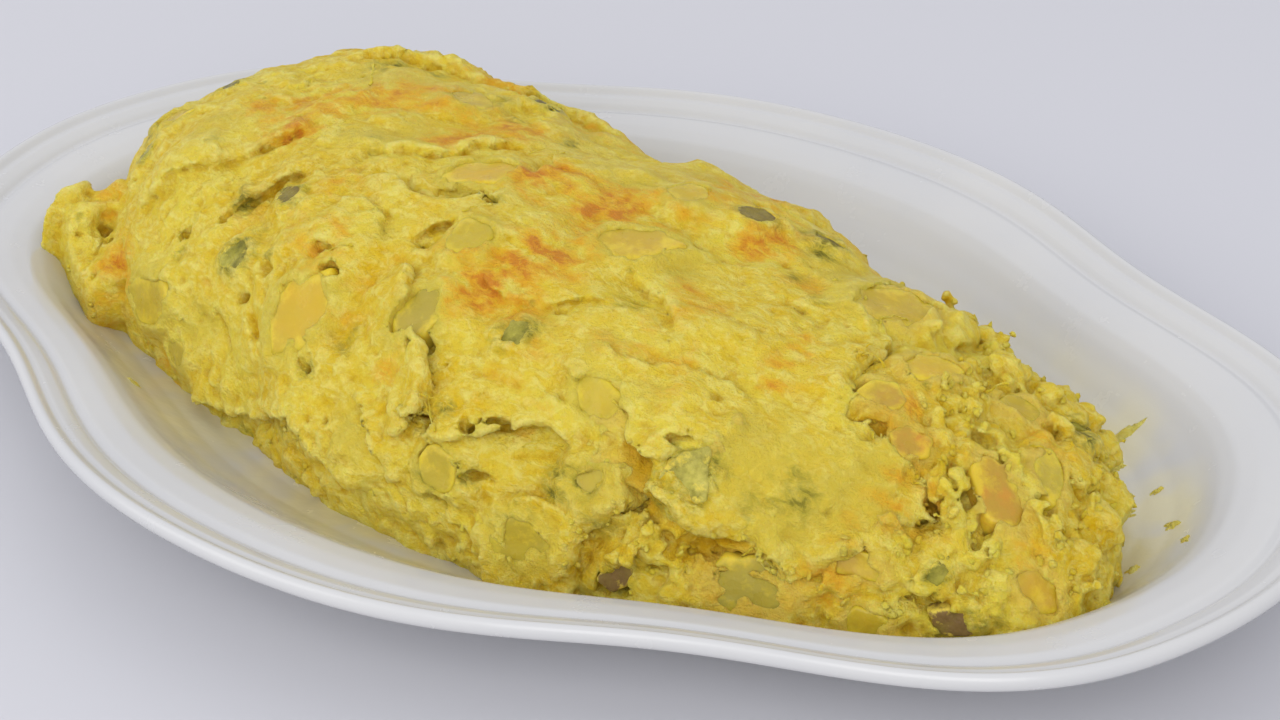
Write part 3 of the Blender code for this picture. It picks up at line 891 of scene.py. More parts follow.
# %% Carving the skin
TORN_EDGE = (
    # x, angle
    (56, -14), (56, 0), (56, 12), (57, 18), (61, 22), (66, 30), (65, 36), (66, 39), (70, 33), (74, 28),
    (82, 26), (88, 28), (94, 24), (98, 20), (102, 23), (107, 30), (112, 40), (118, 51), (113, 58),
    (110, 65), (104, 69), (96, 70), (91, 77), (89, 84), (89, 92), (80, 100), (74, 106), (73, 130),
    (66, 152), (66, 180), (66, 194),
)
FOLDS = (
    # stops, rise, drop, reach, high side, lean
    (((-72, 48), (-69, 51), (-66, 56), (-62, 62), (-54, 67)), 2.4, 2.6, 7, 1, 0.8),
    (((-42, 70), (-34, 75), (-22, 74), (-13, 77), (-7, 84), (-7, 93), (-12, 99)), 1.6, 3.6, 6, -1, 0.2),
    (((-30, 50), (-26, 47), (-22, 50)), 0.8, 2.8, 4, 1, 0.9),
    (((-15, 63), (-12, 69), (-7, 73), (-2, 70)), 1.6, 3.2, 5, 1, 0.7),
    (((-12, 60), (-6, 56), (-1, 52), (6, 46), (12, 40), (15, 34), (12, 27), (8, 24)), 3.6, 1.6, 9, -1, 0.7),
    (((10, 34), (15, 31), (20, 30), (26, 32), (32, 35), (38, 39), (44, 41), (52, 37)), 3.0, 3.0, 7, 1, 1.1),
    (((38, 55), (44, 53), (51, 53), (57, 49), (60, 43)), 2.4, 3.4, 7, 1, 1.0),
    (((38, 48), (44, 46), (51, 45), (57, 41)), 2.4, 1.2, 6, -1, 0.3),
    (((52, 48), (58, 45), (63, 42), (69, 42), (76, 46)), 3.2, 4.4, 7, 1, 1.1),
    (((-80, 20), (-74, 11), (-66, 5), (-54, 5), (-39, 9), (-28, 15), (-19, 18), (-11, 14), (-3, 12), (2, 7)),
     2.8, 3.4, 7, 1, 0.9),
    (((14, 17), (17, 22), (20, 27), (27, 28), (31, 24)), 1.8, 3.0, 4, 1, 0.8),
    (((-50, 32), (-42, 25), (-32, 25), (-24, 31), (-20, 38)), 1.8, 1.4, 7, -1, 0.4),
    (((-104, 34), (-96, 46), (-86, 57), (-78, 66), (-70, 78)), 1.8, 1.6, 8, 1, 0.5),
    (((6, 66), (14, 62), (24, 64), (32, 70), (40, 72)), 1.4, 1.4, 5, 1, 0.6),
    (((42, 64), (50, 61), (60, 64), (70, 66), (80, 61)), 1.3, 1.1, 6, -1, 0.4),
    (((-54, 76), (-42, 82), (-32, 87), (-26, 94), (-20, 100)), 1.4, 1.4, 6, 1, 0.5),
    (((-20, 60), (-26, 66), (-34, 66), (-42, 60)), 1.4, 1.6, 6, 1, 0.5),
    (((24, 96), (34, 92), (44, 93), (54, 98)), 1.2, 1.2, 5, -1, 0.5),
    (((32, 82), (40, 80), (50, 76), (56, 70)), 1.2, 1.4, 6, 1, 0.5),
    (((36, 20), (44, 23), (52, 22), (60, 26)), 1.6, 1.4, 5, -1, 0.5),
    (((-8, 30), (0, 26), (6, 20), (14, 12)), 1.4, 1.6, 6, 1, 0.6),
    (((-96, 100), (-80, 112), (-60, 116), (-40, 128), (-16, 126)), 2.0, 1.6, 8, 1, 0.4),
    (((0, 130), (20, 138), (40, 132), (58, 140)), 2.0, 1.8, 8, -1, 0.4),
    (((-70, 150), (-40, 146), (-10, 154), (20, 150)), 2.4, 2.0, 8, 1, 0.4),
)
CRACKS = (
    # stops, width, depth
    (((30, 26), (33, 24), (37, 25)), 0.9, 3.0), (((-26, 49), (-22, 47)), 1.1, 3.0),
    (((60, 5), (66, 6), (68, 9)), 1.6, 4.5), (((36, 30), (44, 33), (52, 31)), 0.9, 1.4),
    (((-14, 44), (-8, 40), (0, 37)), 0.9, 1.2), (((20, 44), (28, 46), (36, 45)), 0.9, 1.2),
    (((66, 52), (74, 56), (83, 54)), 0.8, 1.0), (((-62, 26), (-56, 20), (-48, 18)), 1.0, 1.8),
    (((-8, 92), (2, 95), (12, 94)), 0.8, 1.2), (((-96, 22), (-88, 30), (-86, 38)), 1.2, 1.8),
    (((48, 78), (56, 82), (66, 80)), 0.8, 1.1), (((-34, 60), (-28, 66), (-20, 66)), 0.8, 1.2),
)
HOLES = (
    # x, angle, radii, heading
    (64, 40, (8, 3.2, 6), 0), (58, 40, (3, 5, 6), 20), (67, 33, (2.5, 5, 6), 0),
    (-13, 80, (7, 1.8, 5), 15), (17, 31, (2.5, 2, 6), 0), (-26, 49, (2.2, 1.8, 5), 0),
    (20, 25, (2.2, 2.6, 5), 0), (-11, 66, (1.6, 2.6, 4), 0), (4, 46, (3, 6, 3.5), 60),
    (31, 24, (3, 1, 4), 10), (-79, 24, (3, 2, 4), 0), (-40, 6, (5, 2, 4), 0), (43, 76, (3, 1, 3), 10),
    (30, 66, (2, 1.2, 3), 0), (28, 34, (2.2, 1.1, 5), 10), (32, 84, (1.8, 1.2, 4), 0),
    (67, 92, (3.8, 0.9, 4), 0), (38, 94, (1.6, 1.2, 4), 0), (-5, 80, (3, 1, 4), 0),
    (23, 16, (2.4, 1.8, 4), 0), (13, 32, (2.2, 1.2, 5), 30), (57, 48, (2.6, 1.4, 5), 40),
    (33, 37, (5, 1.2, 4), 10), (-82, 38, (2.4, 2.2, 5), 0), (-71, 46, (1.4, 2.2, 4), 0),
    (-47, 42, (1.8, 1.6, 5), 0), (-52, 32, (2.4, 1.2, 4), 40), (-32, 53, (2.6, 1.1, 4), 10),
    (-21, 28, (2.2, 0.9, 4), 0), (71, 47, (4, 1.6, 5), 10),
)


def broad_relief(body, height, seed):
    """The soft lumps and creases of a sheet of egg."""
    body.d -= height * layered_noise(body.points, 24, seed, 2)
    crease = np.abs(smooth_noise(body.points * np.array((0.7, 1, 1), np.float32), 14, seed + 3))
    body.d += 0.5 - 0.9 * np.minimum(crease * 3.0, 1)


def fine_relief(body, curdled, seed):
    """Crumbs, fibres and pores on the surface; `curdled` says, cell by cell, how crumbly it is."""
    close = np.flatnonzero(np.abs(body.d) < 3.6)
    points, curdled = body.points[close], curdled[close]
    rough = np.clip(0.75 + 1.5 * smooth_noise(points, 26, seed + 1), 0.2, 1.6)
    large, small = lumpiness(points, 7.5, seed + 5), lumpiness(points, 3.6, seed + 6)
    change = curdled * (2.4 * (large - 0.4) + 1.1 * (small - 0.3))
    way = np.array((0.80, 0.42, -0.42), np.float32)
    across = points - np.outer(points @ way, 0.72 * way).astype(np.float32)
    fibrous = soft_step(smooth_noise(points, 30, seed + 2), 0.0, 0.3)
    fibres = 0.40 * fibrous * layered_noise(across, 3.6, seed + 8, 2)
    change += rough * (fibres + 0.95 * layered_noise(points, 3.2, seed + 12, 2))
    first, _, name = nearest_spots(points, 9.5, seed + 13)
    change -= (name < 0.4) * 2.4 * soft_step(1.2 * (0.4 + 2.2 * name) - first * 9.5, -0.5, 0.8)
    first, _, name = nearest_spots(points, 4.6, seed + 14)
    change -= (name < 0.3) * rough * 0.9 * soft_step(0.6 + name - first * 4.6, -0.4, 0.5)
    body.d[close] -= change.astype(np.float32)


skin = Sculpture((-152, -86, 4.6), (124, 82, 72), step=0.8)
broad_relief(skin, 2.3, 2)
for lobe in END_LOBES_MM:
    local = (skin.points - np.array(lobe[:3])) / np.array(lobe[3:])
    ratio = np.sqrt((local ** 2).sum(1)) * (1 + 0.35 * smooth_noise(skin.points, 7, 31))
    skin.d = soft_least(skin.d, (ratio - 1) * min(lobe[3:]), 1.5)
RISE_MORE, DROP_MORE = 1.25, 1.35  # every fold stands a little stronger than its row says
for n, (stops, rise, drop, reach, high, lean) in enumerate(FOLDS):
    skin.ledge(stops, RISE_MORE * rise, DROP_MORE * drop, reach, high, lean, seed=40 + n)
for n, (stops, width, depth) in enumerate(CRACKS):
    skin.crack(stops, width, depth, seed=80 + n)


def open_windows(body, cling):
    """Clears the egg off the slices; the more it clings, the higher it stands round them."""
    for table, corners, first, seed in ((POTATOES, 6, 12, 100), (PEPPERS, 5, 11, 200)):
        for n, (x, angle, heading, length, width, cover) in enumerate(table):
            outline, _ = slice_outline(corners, 31 * n + first)
            body.window(x, angle, heading, length, width, outline, cling, cover, seed + 3 * n)


open_windows(skin, 1.2)
far_left = soft_step(-skin.points[:, 0], 96, 122)
low_front = soft_step(-skin.angle, -30, -8) * soft_step(skin.points[:, 0], -90, -50)
fine_relief(skin, np.clip(0.06 + 0.12 * far_left + 0.70 * low_front, 0, 1), 2)
for n, (x, angle, radii, heading) in enumerate(HOLES):
    skin.blob(x, angle, radii, heading, 0.3, add=False, seed=30 + n, rough=0.5)
print("cells near the surface:", len(skin.points))

# %% [markdown]
# The sheet ends at the torn edge. Its wall leans back under the lip, so the lip stands out over the
# filling and throws a shadow on it. The edge itself is frayed at two scales.

# %% The torn edge
SKIN_END = 50  # the deep inside of the skin's body ends at this x, under the filling
EDGE_LINE = surface_line([(x, min(max(angle, 0.5), 179.5)) for x, angle in TORN_EDGE], 2.6)


def beyond_edge(points, angle, fray):
    """How far outside the torn edge each cell lies; negative under the sheet."""
    jitter = fray * (smooth_noise(points, 6.0, 401) * 2.4 + smooth_noise(points, 2.4, 402) * 1.3)
    x, turn = points[:, 0] + jitter, angle + 0.7 * jitter
    odd = np.zeros(len(points), bool)
    for (x0, a0), (x1, a1) in zip(TORN_EDGE, TORN_EDGE[1:]):
        if a0 != a1:
            odd ^= ((a0 > turn) != (a1 > turn)) & (x < x0 + (turn - a0) / (a1 - a0) * (x1 - x0))
    side, _ = beside_line(points, EDGE_LINE)
    return np.where(odd, -np.abs(side), np.abs(side)) + 0.8 * jitter


EDGE_REGION = 36  # left of this x no cell is near the torn edge
band = np.flatnonzero(skin.points[:, 0] > EDGE_REGION)
outside = beyond_edge(skin.points[band], skin.angle[band], 1.0)
under = np.clip(-skin.base[band] - 3.6, 0, 6)
low_lip = soft_step(-skin.angle[band], -44, -30)
skin.d[band] -= (1.0 + 1.6 * low_lip) * np.exp(-np.abs(outside + 3) / 4)
skin.d[band] = np.maximum(skin.d[band], outside + 1.5 * under)
past = skin.xs[:, None, None] - SKIN_END
deep = (skin.field < -9) & (past > 0)
skin.field[deep] = np.broadcast_to(past, skin.field.shape)[deep]
print("cells beside the edge:", len(band))


# %% From cells to a piece
MOST_TRIANGLES = 188000


def thinned(obj):
    """Merges the flattest faces of a net that is finer than a piece may be."""
    triangles = triangle_count(obj)
    if triangles > MOST_TRIANGLES:
        modifier = obj.modifiers.new("thin", "DECIMATE")
        modifier.ratio = MOST_TRIANGLES / triangles
        plain_mesh(obj)
        print(obj.name, "thinned to", triangle_count(obj), "triangles")
    return obj


def shape_from_net(name, points, quads, values):
    """A piece from a net in mm and its vertices' values, without loose bits and with its open foot closed."""
    keep = np.unique(quads)
    renumber = np.full(len(points), -1)
    renumber[keep] = np.arange(len(keep))
    kept_values = {key: value[keep] for key, value in values.items()}
    obj = mesh_object(name, points[keep] * MM, renumber[quads].tolist(), kept_values)
    grid = bmesh.new()
    grid.from_mesh(obj.data)
    seen, islands = set(), []
    for vert in grid.verts:
        if vert not in seen:
            island, stack = [], [vert]
            seen.add(vert)
            while stack:
                here = stack.pop()
                island.append(here)
                for edge in here.link_edges:
                    other = edge.other_vert(here)
                    if other not in seen:
                        seen.add(other)
                        stack.append(other)
            islands.append(island)
    islands.sort(key=len)
    bmesh.ops.delete(grid, geom=[v for island in islands[:-1] for v in island], context="VERTS")
    rim = [edge for edge in grid.edges if edge.is_boundary]
    bmesh.ops.holes_fill(grid, edges=rim, sides=0)
    bmesh.ops.triangulate(grid, faces=[face for face in grid.faces if len(face.verts) > 4])
    for face in grid.faces:
        face.smooth = True
    grid.to_mesh(obj.data)
    grid.free()
    print(name, "triangles:", triangle_count(obj), "dropped islands:", len(islands) - 1)
    return thinned(obj)


skin_points, skin_quads = skin.net()

# %% [markdown]
# ## The filling at the torn end
# Where the sheet has come away the inside shows: curds of egg, strands and slices standing on edge.
# It is a second body of egg with a finer step, a little below the sheet, that runs in under the lip.

# %% Carving the filling
STRANDS = (
    # stops, width, height
    (((100, 92), (104, 86), (111, 78), (116, 68), (121, 56), (124, 44)), 2.3, 3.2),
    (((116, 88), (122, 82), (128, 75), (134, 70), (138, 66)), 1.8, 2.6),
    (((118, 34), (124, 31), (128, 26), (130, 21)), 2.6, 2.4),
    (((60, 14), (66, 17), (71, 22), (75, 24)), 1.6, 2.0),
    (((104, 60), (108, 52), (116, 44)), 2.0, 1.6),
)
GAPS = (
    # x, angle, radii
    (64, 8, (4, 3.4, 6)), (62, 30, (6, 3, 5)), (99, 66, (5, 4, 2.8)), (113, 62, (3, 2, 2.6)),
    (121, 66, (2.5, 6, 2.2)), (127, 58, (2.2, 5, 2.2)), (94, 78, (5, 3, 3)), (104, 32, (6, 2.5, 3)),
    (86, 22, (10, 2.0, 4)), (122, 22, (5, 1.6, 3)), (117, 84, (2.5, 3, 2.4)), (110, 104, (3, 2, 2.4)),
    (133, 78, (2, 3, 2.4)),
)
CURD_LUMPS = (
    # x, angle, radius
    (137, 66, 4.5), (142, 80, 5), (142, 50, 5), (147, 60, 4), (146, 38, 5), (143, 28, 5), (148, 92, 4),
    (146, 22, 4), (134, 34, 5), (138, 24, 4.5), (134, 58, 3.5), (128, 44, 3.5), (108, 114, 5),
    (91, 122, 5), (94, 134, 5), (97, 140, 4), (116, 122, 5), (121, 130, 5), (127, 112, 4.5),
    (132, 104, 5), (140, 106, 5), (102, 124, 4), (88, 110, 4), (110, 128, 4), (71, 7, 4), (77, 8, 5),
    (84, 6, 4.5), (73, 20, 4), (68, 19, 4), (66, 4, 3.5), (90, 5, 4), (97, 6, 4), (104, 5, 4),
    (120, 9, 4), (136, 14, 4), (77, 13, 3.5), (108, 22, 4), (112, 38, 4), (118, 60, 3), (110, 92, 4),
    (104, 100, 4), (100, 150, 5), (112, 146, 5), (124, 150, 5), (90, 160, 5), (80, 146, 5), (136, 134, 5),
    (106, 166, 5), (122, 170, 4),
)

FILLING_START = 51  # the x of the filling's hidden end, under the skin
filling = Sculpture((47, -76, 4.6), (157, 64, 60), step=0.58, band=7.5)
points = filling.points
outside = beyond_edge(points, filling.angle, 1.0)
broad_relief(filling, 2.2, 60)
sunk = 4.6 + 3.4 * soft_step(-filling.angle, -46, -30)
filling.d += 0.8 + sunk * np.exp(-np.maximum(outside, 0) / 8.0) + 3.0 * soft_step(-outside, 0, 4)
draw = random.Random(5)
for n, (x, angle, radius) in enumerate(CURD_LUMPS):
    radii = [radius * draw.uniform(low, high) for low, high in ((0.9, 1.35), (0.8, 1.1), (0.7, 0.95))]
    filling.blob(x, angle, radii, draw.uniform(0, 180), lift=-0.6, seed=n, rough=0.3, soft=1.3)
for n, (stops, width, height) in enumerate(STRANDS):
    filling.ridge(stops, width, height, seed=500 + 7 * n)
open_windows(filling, 1.1)
for n, (x, angle, radii) in enumerate(GAPS):
    filling.blob(x, angle, radii, 0, 0.5, add=False, seed=60 + n, rough=0.4)
shown = soft_step(outside, -2, 4)
bare = 1 - 0.85 * slice_cover(points, POTATOES)
fine_relief(filling, np.clip(shown * bare * (0.7 + 0.9 * smooth_noise(points, 18, 77)), 0.06, 0.9), 61)
filling.field[(filling.field < -7) | (filling.xs[:, None, None] < 49)] = -7
wall = FILLING_START - filling.points[:, 0] + 0.3 * np.clip(-filling.base, 0, 8)
filling.d = np.maximum(filling.d, wall)
before = FILLING_START - filling.xs[:, None, None]
hidden = (before > 0) & (filling.field < 0)
filling.field[hidden] = np.broadcast_to(before, filling.field.shape)[hidden]
print("cells near the surface:", len(filling.points))
filling_points, filling_quads = filling.net()

# %% [markdown]
# ## What lies under the surface
# Egg, potato and pepper differ most in colour: lemon and golden egg, patches browned by the pan,
# slices that show pale through a thin veil, grey-green pepper. The places of these patches belong to
# this omelette, so each vertex gets its share of each, and the materials mix their colours by it.
# Each vertex also gets a share of painted shade and light: the egg is painted darker in low places
# and in listed patches under the flap and in hollows, and lighter on raised places.

# %% Browned patches, veiled slices and patches of painted shade
BROWNED = (
    # x, angle, radius, strength
    (-65, 94, 9, 0.55), (-72, 88, 9, 0.5), (-54, 96, 9, 0.55), (-34, 100, 9, 0.75), (-27, 102, 7, 0.6),
    (-36, 90, 6, 0.95), (-1, 90, 8, 1.0), (-6, 90, 6, 0.9), (14, 90, 7, 1.0), (18, 93, 7, 1.05),
    (17, 72, 9, 0.9), (14, 67, 8, 0.9), (18, 78, 8, 0.7), (11, 59, 6, 0.9), (24, 60, 4, 0.6),
    (-44, 68, 6, 0.5), (56, 82, 5, 0.6), (47, 84, 5, 0.5), (47, 100, 7, 0.7), (47, 106, 6, 0.85),
    (78, 72, 4, 1.2), (77, 82, 6, 0.7), (-92, 80, 8, 0.55), (-84, 82, 8, 0.55), (-77, 86, 8, 0.5),
    (-79, 74, 6, 0.75), (-72, 74, 6, 0.75), (-107, 20, 6, 1.0), (-98, 16, 5, 0.8), (-32, 54, 8, 0.5),
    (-45, 54, 5, 0.35), (1, 34, 4, 0.5), (-14, 40, 5, 0.35), (-126, 34, 8, 0.4), (106, 24, 5, 0.9),
    (102, 80, 6, 0.7), (116, 52, 7, 0.55), (-60, 125, 12, 0.6), (-20, 130, 12, 0.6), (30, 126, 12, 0.6),
    (-90, 140, 12, 0.5), (0, 150, 12, 0.4), (60, 140, 10, 0.5), (-40, 150, 10, 0.4), (64, 98, 6, 0.5),
    (28, 96, 7, 0.6), (124, 100, 8, 0.35), (136, 60, 6, 0.4),
)
GREEN_SPOTS = (
    # x, angle, radius, strength
    (42, 18, 4, 1.2), (95, 42, 5, 1.0), (-13, 38, 4, 1.0), (-50, 80, 3, 1.0), (118, 50, 3, 1.2),
    (41, 74, 4, 1.0), (-4, 80, 3, 1.0), (1, 90, 3, 1.0), (-46, 44, 3, 1.0), (-79, 34, 3, 1.0),
    (-69, 52, 4, 1.3), (-60, 58, 4, 1.3), (-49, 0, 5, 1.0), (21, 20, 4, 1.0), (21, 36, 2.5, 1.0),
    (-42, 108, 4, 1.0), (-17, 108, 3, 1.0), (69, 96, 3, 1.0), (88, 36, 4, 0.7), (92, 48, 4, 0.6),
    (30, 24, 3, 1.0), (-30, 10, 4, 1.0), (-58, 48, 3, 1.0), (60, 100, 3, 1.0), (-90, 60, 3, 1.0),
    (-20, 28, 3, 1.0), (50, 28, 4.5, 1.7), (57, 30, 4, 0.9), (60, 23, 4, 1.1), (-81, 103, 5, 1.7),
    (-115, 86, 5, 1.6), (-122, 62, 4, 1.5), (56, 115, 5, 1.8), (-44, 124, 5, 1.6), (127, 114, 5, 1.7),
    (133, 20, 4, 1.5), (14, 34, 3, 1.1), (-34, 106, 3, 1.1), (-69, 108, 3, 1.1), (80, 132, 5, 1.0),
    (-10, 140, 5, 1.0), (-70, 130, 5, 1.0), (40, 150, 5, 1.0), (-100, 112, 5, 1.0),
)
PALE_SPOTS = (
    # x, angle, radius
    (82, 56, 8), (85, 44, 9), (-55, 80, 8), (-45, 88, 9), (40, 88, 9), (102, 52, 9), (107, 50, 8),
    (60, 32, 8), (-3, 20, 8), (60, 56, 5), (-62, 98, 9), (-22, 62, 4), (96, 34, 8), (10, 100, 10),
    (64, 108, 9), (-80, 100, 10), (-20, 120, 12), (-50, 140, 12), (20, 120, 12), (72, 124, 10),
    (-96, 66, 9), (-66, 20, 7), (30, 60, 5), (44, 62, 5),
)
# Patches of painted shade: the egg is painted darker here, under the torn flap and in the gaps of the
# filling, where shade falls.
PAINTED_SHADE_SPOTS = (
    # x, angle, radius, strength
    (81, 24, 7, 0.9), (88, 22, 7, 0.9), (94, 17, 6, 0.7), (66, 38, 5, 1.2), (70, 32, 5, 1.0),
    (62, 42, 4, 1.0), (84, 90, 5, 0.7), (98, 72, 6, 0.9), (103, 67, 6, 1.0), (109, 61, 6, 1.0),
    (116, 50, 5, 0.8), (116, 74, 4, 0.6), (127, 92, 4, 0.6), (104, 30, 5, 0.7), (126, 24, 5, 0.6),
    (118, 12, 5, 0.5), (60, 14, 6, 0.8), (108, 104, 5, 0.6),
)


def egg_values(points, quads, lively, painted_shade_spots=()):
    """Shares of browned egg, pepper and potato, and a share of painted shade and light: how far each point
    stands out of its surroundings, scaled by `lively`, less the patches of painted shade.
    """
    points32 = points.astype(np.float32)
    mottle = smooth_noise(points32, (7, 4, 4), 701)
    fine = smooth_noise(points32, 2.6, 702)
    brown = patch_sum(points, BROWNED) * np.clip(0.75 + 1.7 * mottle + 0.9 * fine, 0, 2)
    brown += 0.30 * soft_step(layered_noise(points32, 30, 703), 0.05, 0.6) * np.clip(0.6 + 2 * mottle, 0, 1.5)
    first, _, name = nearest_spots(points32, 13.0, 704)
    flecks = (name < 0.30) * soft_step(0.8 + 4 * name - first * 13, -0.6, 1.2)
    green = patch_sum(points, GREEN_SPOTS)
    green *= np.clip(0.75 + 1.0 * fine + 0.9 * mottle, 0, 1.1)
    green = np.maximum(green, slice_cover(points, PEPPERS) * (0.6 + 0.9 * fine))
    green = np.clip(np.maximum(green, 0.8 * flecks), 0, 1.6)
    pale = patch_sum(points, [(x, angle, radius, 0.9) for x, angle, radius in PALE_SPOTS])
    pale = np.clip(np.maximum(pale * (0.9 + mottle), slice_cover(points, POTATOES)), 0, 1)
    smooth = relaxed(points, quads, 14, 0.7)
    one, two = points[quads[:, 2]] - points[quads[:, 0]], points[quads[:, 3]] - points[quads[:, 1]]
    face_out = np.cross(one, two)
    out = np.stack([
        sum(np.bincount(quads[:, k], face_out[:, n], len(points)) for k in range(4)) for n in range(3)
    ], 1)
    out /= np.linalg.norm(out, axis=1, keepdims=True) + 1e-9
    # Painted shade and light: the egg's material darkens low points and the patches of painted shade, and
    # lightens raised points.
    proud = lively * ((points - smooth) * out).sum(1) / 0.8 - 1.1 * patch_sum(points, painted_shade_spots)
    return {"brown": brown, "green": green, "pale": pale, "proud": np.clip(proud, -1.5, 1.5)}


skin_values = egg_values(skin_points, skin_quads, 1.0)
filling_values = egg_values(filling_points, filling_quads, 0.6, PAINTED_SHADE_SPOTS)
egg_skin = shape_from_net("egg_skin_set", skin_points, skin_quads, skin_values)
egg_filling = shape_from_net("egg_filling", filling_points, filling_quads, filling_values)

# %% [markdown]
# ## The material of the egg
# Set egg is a pale, wet foam. Light goes a few millimetres into it, so it glows a little in thin
# places; its colour wanders between lemon and gold, and it has a fine grain. Noise in object
# coordinates makes the wandering and the grain, the vertex shares add browning, pepper and potato,
# and painted shade in low places and hollows with painted light on raised places.

# %% The egg's nodes
def value_of(tree, name):
    """The number that each vertex keeps under a name."""
    return add_node(tree, "ShaderNodeAttribute", attribute_name=name).outputs["Fac"]


def noise_of(tree, scale, detail=3.0, roughness=0.5, stretch=None, distortion=0.0):
    """Noise in object coordinates, scale in features per metre; stretch is a rotation and a scale."""
    place = add_node(tree, "ShaderNodeTexCoord").outputs["Object"]
    if stretch:
        inputs = {"Vector": place, "Rotation": stretch[0], "Scale": stretch[1]}
        place = add_node(tree, "ShaderNodeMapping", inputs).outputs["Vector"]
    return add_node(tree, "ShaderNodeTexNoise", {
        "Vector": place, "Scale": scale, "Detail": detail, "Roughness": roughness, "Distortion": distortion,
    }).outputs["Fac"]


def between(tree, source, low, high, to_low=0.0, to_high=1.0):
    """Maps a value from one range to another, held at the ends."""
    return add_node(tree, "ShaderNodeMapRange", {
        "Value": source, "From Min": low, "From Max": high, "To Min": to_low, "To Max": to_high,
    }).outputs["Result"]


def mixed_colour(tree, share, first, second):
    """A colour between two, by a share; each may be a colour or a socket."""
    first, second = ((*value, 1) if isinstance(value, tuple) else value for value in (first, second))
    inputs = {"Factor": share, 6: first, 7: second}
    return add_node(tree, "ShaderNodeMix", inputs, data_type="RGBA").outputs[2]


def tinted(tree, colour, share, low, high, most, tint):
    """Mixes a tint into a colour as the share goes from low to high, and no more than `most` of it."""
    return mixed_colour(tree, between(tree, share, low, high, 0.0, most), colour, tint)


def bumpy(tree, shader, height, strength, distance):
    """Lets the light see small bumps that the mesh doesn't have."""
    bump = add_node(tree, "ShaderNodeBump", {"Height": height, "Strength": strength, "Distance": distance})
    join(tree, bump.outputs["Normal"], shader.inputs["Normal"])


FIBRE_TURN = (0.3, 0.5, 0.6)


def egg_material(name, over_slices):
    """The egg; `over_slices` is its colour where a slice shows through."""
    material, tree, shader = new_material(name, {
        "Subsurface Weight": 0.22, "Subsurface Radius": (1.0, 0.62, 0.16), "Subsurface Scale": 0.0035,
        "Specular IOR Level": 0.13,
    })
    wander = between(tree, noise_of(tree, 50, 5, 0.62, None, 0.5), 0.38, 0.62)
    colour = mixed_colour(tree, wander, (0.78, 0.515, 0.013), (0.83, 0.650, 0.056))
    blotch = between(tree, noise_of(tree, 190, 5, 0.7, None, 1.2), 0.40, 0.62)
    colour = mixed_colour(tree, math_node(tree, "MULTIPLY", blotch, 0.5), colour, (0.89, 0.745, 0.115))
    fibres = between(tree, noise_of(tree, 430, 5, 0.7, (FIBRE_TURN, (0.6, 1.0, 1.0)), 0.8), 0.47, 0.60)
    colour = mixed_colour(tree, math_node(tree, "MULTIPLY", fibres, 0.46), colour, (0.96, 0.87, 0.25))
    # Painted shade and painted light: where the share is low the egg turns deep gold, where it is high pale
    # cream; the noise adds small speckles of both.
    pits = between(tree, noise_of(tree, 520, 4, 0.7), 0.3, 0.7, -0.55, 0.55)
    dents = math_node(tree, "ADD", value_of(tree, "proud"), pits)
    colour = tinted(tree, colour, dents, -0.10, -1.15, 0.9, (0.62, 0.355, 0.006))
    colour = tinted(tree, colour, dents, 0.25, 1.1, 0.6, (0.95, 0.83, 0.25))
    veil = between(tree, blotch, 0.0, 1.0, 1.15, 0.5)
    pale = math_node(tree, "MULTIPLY", value_of(tree, "pale"), veil)
    colour = tinted(tree, colour, pale, 0.15, 0.8, 0.75, over_slices)
    grain = noise_of(tree, 480, 5, 0.7, (FIBRE_TURN, (0.5, 1.0, 1.0)), 1.0)
    grain = between(tree, grain, 0.36, 0.64, 0.35, 1.35)
    toast = math_node(tree, "MULTIPLY", value_of(tree, "brown"), grain)
    colour = tinted(tree, colour, toast, 0.08, 0.60, 0.80, (0.84, 0.45, 0.024))
    colour = tinted(tree, colour, toast, 0.62, 1.50, 0.75, (0.66, 0.21, 0.024))
    green = math_node(tree, "MULTIPLY", value_of(tree, "green"), grain)
    colour = tinted(tree, colour, green, 0.15, 1.0, 0.8, (0.30, 0.265, 0.030))
    colour = tinted(tree, colour, green, 0.85, 1.5, 0.8, (0.13, 0.115, 0.010))
    join(tree, colour, shader.inputs["Base Color"])
    join(tree, between(tree, noise_of(tree, 120, 3), 0.35, 0.65, 0.30, 0.52), shader.inputs["Roughness"])
    grit = math_node(tree, "ADD", noise_of(tree, 1250, 4, 0.7), math_node(tree, "MULTIPLY", fibres, 0.16))
    height = math_node(tree, "ADD", noise_of(tree, 520, 5, 0.7, None, 0.4), grit)
    bumpy(tree, shader, height, 0.9, 0.0013)
    return material


egg = egg_material("set egg", (0.72, 0.57, 0.072))
curd = egg_material("torn egg", (0.78, 0.56, 0.095))
for piece, node, material in ((egg_skin, "egg_skin", egg), (egg_filling, "filling", curd)):
    piece.data.materials.append(material)
    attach(piece, "root")
    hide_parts(node)
print("egg nodes:", len(egg.node_tree.nodes))

# %% [markdown]
# ## Slices of potato and pepper
# A slice has a cut outline of a few corners, worn round by the cooking, a flat top that sags a
# little, and sides that bow. Each is built from rings about its outline, in the place of its solid.

